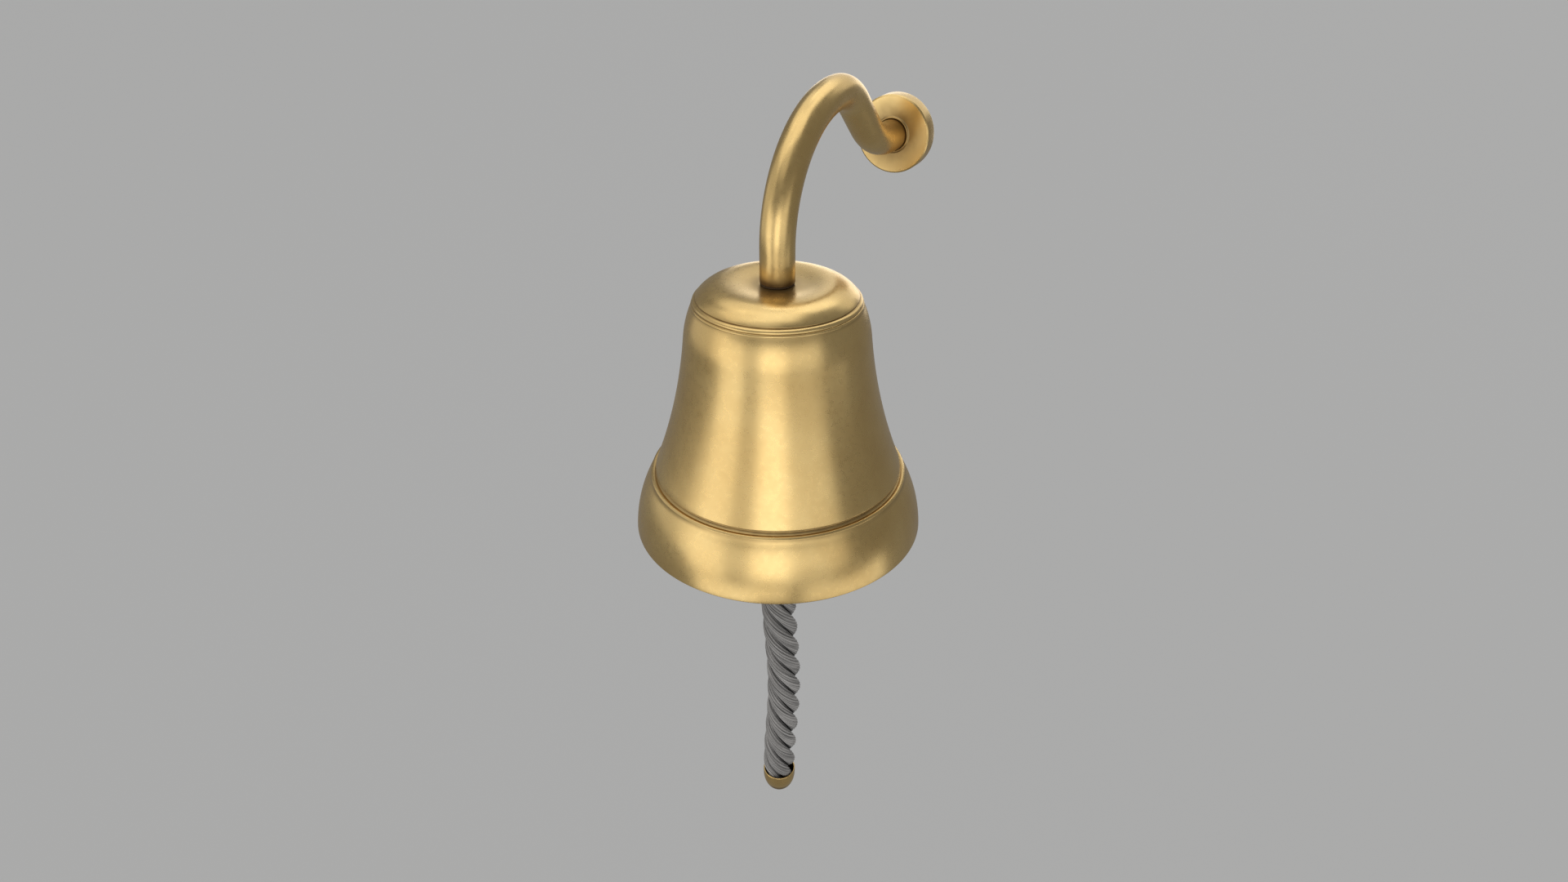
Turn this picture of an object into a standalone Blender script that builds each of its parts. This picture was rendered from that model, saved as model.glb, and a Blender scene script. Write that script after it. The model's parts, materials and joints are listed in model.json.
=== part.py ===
"""Wall bell: a brass bell hung under a swan-neck arm, with a clapper and a twisted bell rope.

Metres, +Z up. The origin is the centre of the wall plate's back face and the wall is the
plane Y = 0, so everything stands in front of it, towards -Y. Lengths are written in
millimetres and turned into metres by MM.
"""

import math

import bmesh
import bpy
from mathutils import Matrix, Vector

MM = 0.001
GAP = 0.3  # clearance left between pieces that touch
EDGE = 0.6  # edge break on turned and milled pieces
OVERRUN = 3.0  # how far a cutter runs past the faces it cuts
COLLECTION = "wall_bell"
CUTTERS = "cutters"

# Bell: heights are above the mouth, radii from the bell's axis
MOUTH_RADIUS = 100.0
LIP_THICKNESS = 9.0
BOW_EDGE = (87.3, 42.1)  # (radius, height) of the sound bow's upper rim
BOW_CURVE = 90.0
WAIST_FOOT = (84.3, 46.1)
WAIST_HEAD = (60.6, 142.0)
WAIST_CURVE = 366.0
SHOULDER_HEAD = (54.9, 163.1)
SHOULDER_CURVE = 70.0
BEAD_HEAD = (52.9, 167.0)
BEAD_CURVE = 12.0
CROWN_EDGE = (52.0, 168.2)
CROWN_CREST = (34.0, 177.0)
SEAT_RADIUS = 13.0
SEAT_HEIGHT = 175.4
CROWN_UNDERSIDE = 168.0
INNER_BOW = (79.6, 44.0)
INNER_WAIST = (55.2, 142.0)
INNER_CROWN = (41.0, 168.0)
INNER_CROWN_CURVE = 32.0
CROWN_HOLE = 6.6
BELL_SEGMENTS = 48

# Swan-neck arm, from the wall to the bell
TUBE_RADIUS = 11.15
TUBE_WALL = 3.15
STUB = 21.64  # straight run square to the wall
RISE_ANGLE = math.radians(42.6)
ELBOW_RADIUS = 60.2
SLOPE_LENGTH = 28.5
CREST_RADIUS = 39.2
DROP_RADIUS = 79.1
DROP_LENGTH = 20.1
TUBE_END_HEIGHT = 177.0  # above the mouth
TUBE_RESOLUTION = 6

# Wall fixing: distances are out from the wall
PLATE_RADIUS = 24.0
PLATE_THICKNESS = 6.0
SPIGOT_LENGTH = 21.5
SCREW_HOLES = 3
SCREW_HOLE_RADIUS = 2.8
SCREW_CIRCLE_RADIUS = 17.0
ROSETTE_RADIUS = 28.1
ROSETTE_DEPTH = 12.0
ROSETTE_RIM = 3.0
ROSETTE_FACE = 3.5
ROSETTE_LIP_RADIUS = 12.9
ROSETTE_LIP_HEIGHT = 1.4
ROSETTE_GRUB_AT = 3.4
ROSETTE_GRUB_RADIUS = 1.9
ARM_GRUB_AT = 16.5
ARM_GRUB_RADIUS = 2.7

# Hanger and clapper hinge
STUD_RADIUS = 6.0
STUD_FIT = 6.3
STUD_FOOT = 151.5
STUD_HEAD = 195.5
PLUG_LENGTH = 19.5
WASHER_RADIUS = 18.0
WASHER_THICKNESS = 2.4
NUT_ACROSS_FLATS = 19.0
NUT_HEIGHT = 8.0
FORK_RADIUS = 12.0
FORK_FOOT = 131.5
FORK_SLOT = 5.5  # half width
SLOT_HEAD = 150.0
PIVOT_HEIGHT = 140.0
PIN_RADIUS = 3.0
PIN_HALF_LENGTH = 14.4
PIN_HEAD_RADIUS = 5.2
PIN_HEAD_THICKNESS = 2.9
CLIP_THICKNESS = 1.2

# Clapper: heights are below the pivot, so negative
EYE_RADIUS = 8.5
EYE_HALF_WIDTH = 5.0
BUSH_RADIUS = 5.0
SHAFT_HEAD = -6.0
SHAFT_RADIUS = 4.6
SHAFT_TAPER_HEAD = -40.0
SHAFT_SHOULDER_RADIUS = 5.8
SHAFT_SHOULDER_LENGTH = 6.0
BALL_RADIUS = 22.0
BALL_CENTRE = -136.0
BALL_BORE = 4.3
THREAD_RADIUS = 4.0
COLLAR_RADIUS = 7.0
COLLAR_TAPER = 0.8
RING_MAJOR = 5.5
RING_MINOR = 2.2
RING_CENTRE = -168.2

# Shackle: it turns on the wire of the ring's lower side
SHACKLE_WIRE = 2.0
SHACKLE_BOW = 4.7
SHACKLE_DROP = 9.5
SHACKLE_PIN_RADIUS = 2.0
SHACKLE_PIN_HEAD_RADIUS = 3.5
SHACKLE_PIN_HEAD_THICKNESS = 2.3
SHACKLE_NUT_ACROSS_FLATS = 7.0
SHACKLE_NUT_HEIGHT = 2.5
SHACKLE_LUG_RADIUS = 3.7
SHACKLE_LUG_INNER = 2.8
SHACKLE_LUG_OUTER = 6.8

# Rope and its fittings: heights are below the shackle pin, so negative
LUG_HALF_WIDTH = 2.4
LUG_RADIUS = 5.0
SOCKET_HEAD = -5.3
SOCKET_SHOULDER = -12.5
SOCKET_FOOT = -25.6
SOCKET_RADIUS = 15.3
SOCKET_TOP_RADIUS = 6.0
SOCKET_DOME_CURVE = 11.0
ROPE_RADIUS = 13.6
ROPE_NECK_RADIUS = 11.6  # where the rope is drawn into the end cap
ROPE_HEAD = -14.8
ROPE_FOOT = -230.6
ROPE_NECK = -221.5
ROPE_BOW = 4.1  # how far the rope bends out of line at mid length
ROPE_BOW_TURN = math.radians(28.2)  # direction of that bend, from +X towards +Y
CAP_RIM = -223.0
CAP_RADIUS = 13.35
CAP_BORE = 12.2
CAP_SKIRT = 5.0
CAP_DEPTH = 18.6
CAP_THICKNESS = 1.6
CAP_SCREW_RADIUS = 1.8
CAP_SCREW_HEAD = 3.4
CAP_SCREW_REACH = 12.0  # how far it goes into the rope
CAP_SCREW_POINT = 3.0
RIVET_RADIUS = 1.5
RIVET_AT = -20.0

BRASS = ("brass", (0.62, 0.46, 0.20, 1.0), 0.32, 1.0)
STEEL = ("steel", (0.52, 0.52, 0.50, 1.0), 0.35, 1.0)
BRONZE = ("bronze", (0.42, 0.27, 0.13, 1.0), 0.40, 1.0)
FIBRE = ("fibre", (0.10, 0.07, 0.05, 1.0), 0.80, 0.0)
ROPE = ("rope", (0.19, 0.18, 0.17, 1.0), 0.90, 0.0)


def clear_scene():
    for old in list(bpy.data.objects):
        bpy.data.objects.remove(old)
    for name in (COLLECTION, CUTTERS):
        bpy.context.scene.collection.children.link(bpy.data.collections.new(name))


def material(spec):
    name, colour, roughness, metallic = spec
    made = bpy.data.materials.get(name)
    if made is None:
        made = bpy.data.materials.new(name)
        made.use_nodes = True
        shader = made.node_tree.nodes["Principled BSDF"]
        shader.inputs["Base Color"].default_value = colour
        shader.inputs["Roughness"].default_value = roughness
        shader.inputs["Metallic"].default_value = metallic
    return made


def place(obj, parent, spec):
    """Links obj as a part: under its frame, in the part's collection, with its material."""
    if obj.name not in bpy.data.collections[COLLECTION].objects:
        bpy.data.collections[COLLECTION].objects.link(obj)
    obj.parent = parent
    obj.data.materials.clear()
    obj.data.materials.append(material(spec))
    return obj


def frame(name, parent, position):
    """An empty that pieces are parented to, at a position in millimetres."""
    empty = bpy.data.objects.new(name, None)
    bpy.data.collections[COLLECTION].objects.link(empty)
    empty.empty_display_size = 0.02
    empty.parent = parent
    empty.location = Vector(position) * MM
    return empty


def smooth(mesh):
    mesh.shade_smooth()
    mesh.set_sharp_from_angle(angle=math.radians(35))


def arc(start, end, radius, steps):
    """Points from start to end on a circle, start left out. A positive radius bulges to the
    left of the way from start to end, and a negative one to the right."""
    a, b = Vector(start), Vector(end)
    half = (b - a) / 2
    across = Vector((-half.y, half.x)).normalized() * math.copysign(1, radius)
    centre = a + half - across * math.sqrt(radius * radius - half.length_squared)
    first = math.atan2(a.y - centre.y, a.x - centre.x)
    sweep = math.atan2(b.y - centre.y, b.x - centre.x) - first
    sweep = (sweep + math.pi) % (2 * math.pi) - math.pi
    turns = [first + sweep * (i + 1) / steps for i in range(steps)]
    return [
        (centre.x + abs(radius) * math.cos(t), centre.y + abs(radius) * math.sin(t))
        for t in turns
    ]


def turned(name, profile, parent, spec, closed=False, segments=24, along_wall=False):
    """A lathe shape from (radius, height) points in millimetres that run down its outer side.
    A closed profile makes a ring. along_wall lays its axis square to the wall, towards -Y."""
    points = [(r * MM, 0.0, z * MM) for r, z in profile]
    edges = [(i, i + 1) for i in range(len(points) - 1)]
    if closed:
        edges.append((len(points) - 1, 0))
    mesh = bpy.data.meshes.new(name)
    mesh.from_pydata(points, edges, [])
    obj = bpy.data.objects.new(name, mesh)
    place(obj, parent, spec)
    screw = obj.modifiers.new("turn", "SCREW")
    screw.steps = screw.render_steps = segments
    screw.use_merge_vertices = True
    screw.merge_threshold = 0.00001
    screw.use_smooth_shade = True
    if along_wall:
        obj.rotation_euler.x = math.radians(90)
    return obj


def cylinder(name, radius, start, end, segments=20):
    """A mesh object: a cylinder between two points in millimetres."""
    a, b = Vector(start) * MM, Vector(end) * MM
    mesh = bpy.data.meshes.new(name)
    shape = bmesh.new()
    bmesh.ops.create_cone(
        shape,
        cap_ends=True,
        segments=segments,
        radius1=radius * MM,
        radius2=radius * MM,
        depth=(b - a).length,
    )
    turn = (b - a).to_track_quat("Z", "Y").to_matrix().to_4x4()
    shape.transform(Matrix.Translation((a + b) / 2) @ turn)
    shape.to_mesh(mesh)
    shape.free()
    smooth(mesh)
    return bpy.data.objects.new(name, mesh)


def box(name, low, high):
    """A mesh object: a box between two corners in millimetres."""
    a, b = Vector(low) * MM, Vector(high) * MM
    mesh = bpy.data.meshes.new(name)
    shape = bmesh.new()
    bmesh.ops.create_cube(shape, size=1.0)
    bmesh.ops.scale(shape, vec=b - a, verts=shape.verts)
    bmesh.ops.translate(shape, vec=(a + b) / 2, verts=shape.verts)
    shape.to_mesh(mesh)
    shape.free()
    return bpy.data.objects.new(name, mesh)


def combine(obj, tool, operation):
    """A Boolean of obj with a helper object that isn't a part itself."""
    bpy.data.collections[CUTTERS].objects.link(tool)
    tool.parent = obj.parent
    tool.hide_render = True
    tool.display_type = "WIRE"
    step = obj.modifiers.new(tool.name, "BOOLEAN")
    step.operation = operation
    step.object = tool


def cut(obj, tool):
    combine(obj, tool, "DIFFERENCE")


def add(obj, tool):
    combine(obj, tool, "UNION")


def bevel(obj, width, segments=2):
    step = obj.modifiers.new("edges", "BEVEL")
    step.width = width * MM
    step.segments = segments
    step.limit_method = "ANGLE"
    step.angle_limit = math.radians(40)


def curve_along(name, points, radius, resolution, caps=True, radii=None):
    """A POLY curve object with a round bevel, through points in millimetres."""
    curve = bpy.data.curves.new(name, "CURVE")
    curve.dimensions = "3D"
    curve.bevel_depth = radius * MM
    curve.bevel_resolution = resolution
    curve.use_fill_caps = caps
    spline = curve.splines.new("POLY")
    spline.points.add(len(points) - 1)
    for i, (knot, point) in enumerate(zip(spline.points, points)):
        knot.co = (*(Vector(point) * MM), 1.0)
        knot.radius = radii[i] if radii else 1.0
    spline.use_smooth = True
    return bpy.data.objects.new(name, curve)


def as_mesh(obj):
    """The curve object as a mesh object of the same name, its caps welded."""
    bpy.data.collections[CUTTERS].objects.link(obj)
    bpy.context.view_layer.update()
    graph = bpy.context.evaluated_depsgraph_get()
    mesh = bpy.data.meshes.new_from_object(obj.evaluated_get(graph))
    shape = bmesh.new()
    shape.from_mesh(mesh)
    bmesh.ops.remove_doubles(shape, verts=shape.verts, dist=0.00001)
    shape.to_mesh(mesh)
    shape.free()
    name = obj.name
    bpy.data.objects.remove(obj)
    mesh.name = name
    return bpy.data.objects.new(name, mesh)


def hexagon(name, across_flats, low, high, axis, bore):
    """A hexagon nut between low and high on an axis through its frame."""
    direction = Vector(axis)
    nut = cylinder(name, across_flats / math.sqrt(3), direction * low, direction * high, 6)
    smooth(nut.data)
    margin = direction * (high - low) * 0.25
    hole = cylinder(f"{name}_bore", bore, direction * low - margin, direction * high + margin)
    return nut, hole


def arm_path():
    """Centreline of the arm as (distance out from the wall, height above the wall plate's
    centre): out from the plate, up the slope, over the crest and down to the bell."""
    out, up, heading = PLATE_THICKNESS + GAP, 0.0, 0.0
    path = [(out, up)]

    def run(length, turn, steps):
        nonlocal out, up, heading
        for _ in range(steps):
            heading += turn / steps / 2
            out += math.cos(heading) * length / steps
            up += math.sin(heading) * length / steps
            heading += turn / steps / 2
            path.append((out, up))

    run(STUB - PLATE_THICKNESS - GAP, 0.0, 1)
    run(ELBOW_RADIUS * RISE_ANGLE, RISE_ANGLE, 6)
    run(SLOPE_LENGTH, 0.0, 1)
    run(CREST_RADIUS * RISE_ANGLE, -RISE_ANGLE, 6)
    run(DROP_RADIUS * math.pi / 2, -math.pi / 2, 14)
    run(DROP_LENGTH, 0.0, 1)
    return path


def bell_outline():
    """Closed (radius, height) outline of the bell: down the outside, and up the inside."""
    lip_inner = MOUTH_RADIUS - LIP_THICKNESS
    dish_steps = 4
    dish = []
    for i in range(1, dish_steps + 1):
        share = i / dish_steps
        rise = (1 - math.cos(math.pi * share)) / 2
        dish.append(
            (
                SEAT_RADIUS + share * (CROWN_CREST[0] - SEAT_RADIUS),
                SEAT_HEIGHT + rise * (CROWN_CREST[1] - SEAT_HEIGHT),
            )
        )
    crown_drop = CROWN_CREST[1] - CROWN_EDGE[1]
    crown_run = CROWN_EDGE[0] - CROWN_CREST[0]
    crown_curve = (crown_run**2 + crown_drop**2) / (2 * crown_drop)
    groove = [
        (WAIST_FOOT[0] - 1.5, WAIST_FOOT[1] - 0.9),
        (WAIST_FOOT[0] - 1.6, WAIST_FOOT[1] - 2.5),
        (WAIST_FOOT[0] - 0.4, BOW_EDGE[1] + 0.8),
        (BOW_EDGE[0] - 0.8, BOW_EDGE[1] + 0.8),
    ]
    outline = [(CROWN_HOLE, SEAT_HEIGHT), (SEAT_RADIUS, SEAT_HEIGHT)]
    outline += dish
    outline += arc(CROWN_CREST, CROWN_EDGE, crown_curve, 4)
    outline += [(CROWN_EDGE[0] - 0.5, CROWN_EDGE[1] - 0.8), BEAD_HEAD]
    outline += arc(BEAD_HEAD, SHOULDER_HEAD, BEAD_CURVE, 2)
    outline += arc(SHOULDER_HEAD, WAIST_HEAD, SHOULDER_CURVE, 3)
    outline += arc(WAIST_HEAD, WAIST_FOOT, -WAIST_CURVE, 6)
    outline += groove
    outline.append(BOW_EDGE)
    outline += arc(BOW_EDGE, (MOUTH_RADIUS, 1.2), BOW_CURVE, 5)
    outline += [(MOUTH_RADIUS - 1.2, 0.0), (lip_inner + 1.2, 0.0), (lip_inner, 1.2)]
    outline += arc((lip_inner, 1.2), INNER_BOW, -BOW_CURVE, 3)
    outline += arc(INNER_BOW, INNER_WAIST, WAIST_CURVE, 4)
    outline += arc(INNER_WAIST, INNER_CROWN, -INNER_CROWN_CURVE, 3)
    outline.append((CROWN_HOLE, CROWN_UNDERSIDE))
    return outline


def wall_fixing(wall):
    """Plate, rosette and the two grub screws."""
    spigot = TUBE_RADIUS - TUBE_WALL - GAP
    plate = turned(
        "wall_plate",
        [
            (0.0, SPIGOT_LENGTH),
            (spigot - EDGE, SPIGOT_LENGTH),
            (spigot, SPIGOT_LENGTH - EDGE),
            (spigot, PLATE_THICKNESS),
            (PLATE_RADIUS - EDGE, PLATE_THICKNESS),
            (PLATE_RADIUS, PLATE_THICKNESS - EDGE),
            (PLATE_RADIUS, 0.0),
            (0.0, 0.0),
        ],
        wall,
        STEEL,
        segments=40,
        along_wall=True,
    )
    for i in range(SCREW_HOLES):
        turn = math.radians(90) + 2 * math.pi * i / SCREW_HOLES
        x = SCREW_CIRCLE_RADIUS * math.cos(turn)
        z = SCREW_CIRCLE_RADIUS * math.sin(turn)
        hole = cylinder(
            f"screw_hole_{i + 1}",
            SCREW_HOLE_RADIUS,
            (x, OVERRUN, z),
            (x, -PLATE_THICKNESS - OVERRUN, z),
            16,
        )
        cut(plate, hole)
    face = ROSETTE_DEPTH
    lip = face + ROSETTE_LIP_HEIGHT
    bore = TUBE_RADIUS + GAP
    rosette = turned(
        "rosette",
        [
            (bore, lip - 0.4),
            (bore + 0.5, lip),
            (ROSETTE_LIP_RADIUS - 0.4, lip),
            (ROSETTE_LIP_RADIUS, lip - EDGE),
            (ROSETTE_LIP_RADIUS + EDGE, face + 0.2),
            (ROSETTE_RADIUS - EDGE, face),
            (ROSETTE_RADIUS, face - EDGE),
            (ROSETTE_RADIUS, 0.0),
            (ROSETTE_RADIUS - ROSETTE_RIM, 0.0),
            (ROSETTE_RADIUS - ROSETTE_RIM, face - ROSETTE_FACE),
            (bore, face - ROSETTE_FACE),
        ],
        wall,
        BRASS,
        closed=True,
        segments=40,
        along_wall=True,
    )
    hole_radius = ROSETTE_GRUB_RADIUS + GAP
    hole_low = (0.0, -ROSETTE_GRUB_AT, -ROSETTE_RADIUS - OVERRUN)
    hole_high = (0.0, -ROSETTE_GRUB_AT, -PLATE_RADIUS)
    cut(rosette, cylinder("rosette_grub_hole", hole_radius, hole_low, hole_high, 12))
    rosette_grub = cylinder(
        "rosette_grub_screw",
        ROSETTE_GRUB_RADIUS,
        (0.0, -ROSETTE_GRUB_AT, -ROSETTE_RADIUS + EDGE),
        (0.0, -ROSETTE_GRUB_AT, -PLATE_RADIUS - GAP),
        12,
    )
    place(rosette_grub, wall, STEEL)
    arm_grub = cylinder(
        "arm_grub_screw",
        ARM_GRUB_RADIUS,
        (0.0, -ARM_GRUB_AT, -TUBE_RADIUS + EDGE),
        (0.0, -ARM_GRUB_AT, -spigot - GAP),
        12,
    )
    place(arm_grub, wall, STEEL)


def arm(wall, path):
    """The swan-neck tube, open at both ends."""
    points = [(0.0, -out, up) for out, up in path]
    tube = as_mesh(curve_along("arm_tube", points, TUBE_RADIUS, TUBE_RESOLUTION, caps=False))
    smooth(tube.data)
    place(tube, wall, BRASS)
    wall_thickness = tube.modifiers.new("wall", "SOLIDIFY")
    wall_thickness.thickness = TUBE_WALL * MM
    wall_thickness.offset = -1.0
    wall_thickness.use_even_offset = True
    hole_low = (0.0, -ARM_GRUB_AT, -TUBE_RADIUS - OVERRUN)
    hole_high = (0.0, -ARM_GRUB_AT, -TUBE_RADIUS + TUBE_WALL + OVERRUN)
    cut(tube, cylinder("arm_grub_hole", ARM_GRUB_RADIUS + GAP, hole_low, hole_high, 12))


def bell_and_hanger(bell_axis):
    """The bell, and what holds it to the arm and the clapper to it."""
    turned("bell", bell_outline(), bell_axis, BRASS, closed=True, segments=BELL_SEGMENTS)
    up = Vector((0.0, 0.0, 1.0))
    plug_radius = TUBE_RADIUS - TUBE_WALL - GAP
    plug_foot = TUBE_END_HEIGHT + GAP
    plug_head = plug_foot + PLUG_LENGTH
    plug = cylinder("arm_end_plug", plug_radius, up * plug_foot, up * plug_head)
    place(plug, bell_axis, BRASS)
    bore_low, bore_high = up * (plug_foot - OVERRUN), up * (plug_head + OVERRUN)
    cut(plug, cylinder("plug_bore", STUD_FIT, bore_low, bore_high))
    gasket_low, gasket_high = SEAT_HEIGHT + GAP, TUBE_END_HEIGHT - GAP
    gasket_outer = TUBE_RADIUS - GAP
    turned(
        "crown_gasket",
        [
            (CROWN_HOLE, gasket_high),
            (gasket_outer, gasket_high),
            (gasket_outer, gasket_low),
            (CROWN_HOLE, gasket_low),
        ],
        bell_axis,
        FIBRE,
        closed=True,
    )
    stud = cylinder("hanger_stud", STUD_RADIUS, up * STUD_FOOT, up * STUD_HEAD)
    place(stud, bell_axis, STEEL)
    bevel(stud, EDGE, 1)
    washer_high = CROWN_UNDERSIDE - GAP
    washer_low = washer_high - WASHER_THICKNESS
    turned(
        "crown_washer",
        [
            (CROWN_HOLE, washer_high),
            (WASHER_RADIUS - EDGE, washer_high),
            (WASHER_RADIUS, washer_high - EDGE),
            (WASHER_RADIUS, washer_low + EDGE),
            (WASHER_RADIUS - EDGE, washer_low),
            (CROWN_HOLE, washer_low),
        ],
        bell_axis,
        STEEL,
        closed=True,
    )
    nut_high = washer_low - GAP
    nut_low = nut_high - NUT_HEIGHT
    nut, bore = hexagon("lock_nut", NUT_ACROSS_FLATS, nut_low, nut_high, up, STUD_FIT)
    place(nut, bell_axis, STEEL)
    bevel(nut, EDGE, 1)
    cut(nut, bore)
    return nut_low - GAP


def clapper_hinge(bell_axis, fork_head):
    """The fork on the stud's end, with the pin that the clapper turns on."""
    up = Vector((0.0, 0.0, 1.0))
    fork = cylinder("clapper_fork", FORK_RADIUS, up * FORK_FOOT, up * fork_head, 28)
    place(fork, bell_axis, STEEL)
    bevel(fork, EDGE)
    bore_low, bore_high = up * (SLOT_HEAD - OVERRUN), up * (fork_head + OVERRUN)
    cut(fork, cylinder("fork_bore", STUD_FIT, bore_low, bore_high))
    past = FORK_RADIUS + OVERRUN
    slot_low = (-past, -FORK_SLOT, FORK_FOOT - OVERRUN)
    cut(fork, box("fork_slot", slot_low, (past, FORK_SLOT, SLOT_HEAD)))
    side = Vector((0.0, 1.0, 0.0))
    pivot = up * PIVOT_HEIGHT
    cut(fork, cylinder("pin_hole", PIN_RADIUS + GAP, pivot - side * past, pivot + side * past))
    reach = side * PIN_HALF_LENGTH
    pin = cylinder("clapper_pin", PIN_RADIUS, pivot - reach, pivot + reach)
    place(pin, bell_axis, STEEL)
    face = side * (FORK_RADIUS + GAP)
    head_out = face + side * PIN_HEAD_THICKNESS
    add(pin, cylinder("pin_head", PIN_HEAD_RADIUS, pivot - head_out, pivot - face))
    clip_out = face + side * CLIP_THICKNESS
    clip = cylinder("pin_clip", PIN_HEAD_RADIUS, pivot + face, pivot + clip_out)
    place(clip, bell_axis, STEEL)
    clip_reach = reach + side * OVERRUN
    cut(clip, cylinder("clip_bore", PIN_RADIUS + GAP, pivot, pivot + clip_reach))


def clapper(pivot):
    """Shaft, bush, ball and tail eye. Heights are measured from the pivot."""
    side = Vector((0.0, 1.0, 0.0))
    shoulder = BALL_CENTRE + BALL_RADIUS + GAP
    thread_seat = RING_CENTRE + RING_MAJOR + EDGE
    shaft_foot = thread_seat + 2 * GAP
    shaft = turned(
        "clapper_shaft",
        [
            (0.0, SHAFT_HEAD),
            (SHAFT_RADIUS, SHAFT_HEAD),
            (SHAFT_RADIUS, SHAFT_TAPER_HEAD),
            (SHAFT_SHOULDER_RADIUS, shoulder + SHAFT_SHOULDER_LENGTH),
            (SHAFT_SHOULDER_RADIUS, shoulder),
            (THREAD_RADIUS, shoulder),
            (THREAD_RADIUS, shaft_foot + EDGE),
            (THREAD_RADIUS - EDGE, shaft_foot),
            (0.0, shaft_foot),
        ],
        pivot,
        STEEL,
        segments=24,
    )
    width = side * EYE_HALF_WIDTH
    eye = cylinder("shaft_eye", EYE_RADIUS, -width, width, 28)
    add(shaft, eye)
    cut(shaft, cylinder("bush_seat", BUSH_RADIUS + GAP, -2 * width, 2 * width))
    bush = cylinder("clapper_bush", BUSH_RADIUS, -width, width)
    place(bush, pivot, BRONZE)
    cut(bush, cylinder("bush_bore", PIN_RADIUS + GAP, -2 * width, 2 * width))
    ball = [(BALL_BORE, BALL_CENTRE + BALL_RADIUS)]
    ball.append((COLLAR_RADIUS, BALL_CENTRE + BALL_RADIUS))
    steps = 12
    first = math.asin((COLLAR_RADIUS + EDGE) / BALL_RADIUS)
    for i in range(steps + 1):
        turn = first + (math.pi - 2 * first) * i / steps
        ball.append((BALL_RADIUS * math.sin(turn), BALL_CENTRE + BALL_RADIUS * math.cos(turn)))
    ball.append((BALL_BORE, BALL_CENTRE - BALL_RADIUS * math.cos(first)))
    turned("clapper_ball", ball, pivot, BRASS, closed=True, segments=28)
    tail_eye(pivot, BALL_CENTRE - BALL_RADIUS * math.cos(first) - GAP, thread_seat)


def tail_eye(pivot, head, thread_seat):
    """The eye nut under the ball: a collar with a ring whose hole runs along Y."""
    collar_foot = RING_CENTRE + RING_MAJOR - EDGE
    collar = turned(
        "tail_eye",
        [
            (0.0, head),
            (COLLAR_RADIUS - EDGE, head),
            (COLLAR_RADIUS, head - EDGE),
            (COLLAR_RADIUS - COLLAR_TAPER, collar_foot + COLLAR_TAPER),
            (COLLAR_RADIUS - 2 * COLLAR_TAPER, collar_foot),
            (0.0, collar_foot),
        ],
        pivot,
        BRASS,
        segments=24,
    )
    bpy.ops.mesh.primitive_torus_add(
        major_radius=RING_MAJOR * MM,
        minor_radius=RING_MINOR * MM,
        major_segments=24,
        minor_segments=10,
    )
    ring = bpy.context.active_object
    ring.name = "tail_ring"
    for home in list(ring.users_collection):
        home.objects.unlink(ring)
    lay_down = Matrix.Rotation(math.radians(90), 4, "X")
    ring.data.transform(Matrix.Translation((0.0, 0.0, RING_CENTRE * MM)) @ lay_down)
    add(collar, ring)
    up = Vector((0.0, 0.0, 1.0))
    cut(collar, cylinder("tail_thread", BALL_BORE, up * thread_seat, up * (head + OVERRUN)))


def shackle(pivot):
    """Bow, pin and nut. Heights are measured from the wire of the ring that it turns on."""
    steps = 10
    points = [(0.0, SHACKLE_BOW, -SHACKLE_DROP)]
    for i in range(steps + 1):
        turn = math.pi * i / steps
        points.append((0.0, SHACKLE_BOW * math.cos(turn), SHACKLE_BOW * math.sin(turn)))
    points.append((0.0, -SHACKLE_BOW, -SHACKLE_DROP))
    bow = as_mesh(curve_along("rope_shackle", points, SHACKLE_WIRE, 3))
    smooth(bow.data)
    place(bow, pivot, STEEL)
    down = Vector((0.0, 0.0, -SHACKLE_DROP))
    side = Vector((0.0, 1.0, 0.0))
    for name, way in (("near_lug", -side), ("far_lug", side)):
        inner = down + way * SHACKLE_LUG_INNER
        outer = down + way * SHACKLE_LUG_OUTER
        add(bow, cylinder(name, SHACKLE_LUG_RADIUS, inner, outer))
    past = side * (SHACKLE_LUG_OUTER + OVERRUN)
    bore = SHACKLE_PIN_RADIUS + GAP
    cut(bow, cylinder("shackle_hole", bore, down - past, down + past))
    face = side * (SHACKLE_LUG_OUTER + GAP)
    head_out = face + side * SHACKLE_PIN_HEAD_THICKNESS
    nut_out = face + side * SHACKLE_NUT_HEIGHT
    pin_end = nut_out + side * EDGE
    pin = cylinder("shackle_pin", SHACKLE_PIN_RADIUS, down - face - side, down + pin_end)
    place(pin, pivot, STEEL)
    head_radius = SHACKLE_PIN_HEAD_RADIUS
    add(pin, cylinder("shackle_pin_head", head_radius, down - head_out, down - face))
    nut_radius = SHACKLE_NUT_ACROSS_FLATS / math.sqrt(3)
    nut = cylinder("shackle_nut", nut_radius, down + face, down + nut_out, 6)
    place(nut, pivot, STEEL)
    cut(nut, cylinder("shackle_nut_bore", bore, down, down + pin_end))


def rivet_hole(name):
    """The cutter for the rivet through the socket and the rope."""
    across = Vector((SOCKET_RADIUS + OVERRUN, 0.0, 0.0))
    at_rivet = Vector((0.0, 0.0, RIVET_AT))
    return cylinder(name, RIVET_RADIUS + GAP, at_rivet - across, at_rivet + across, 12)


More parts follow.
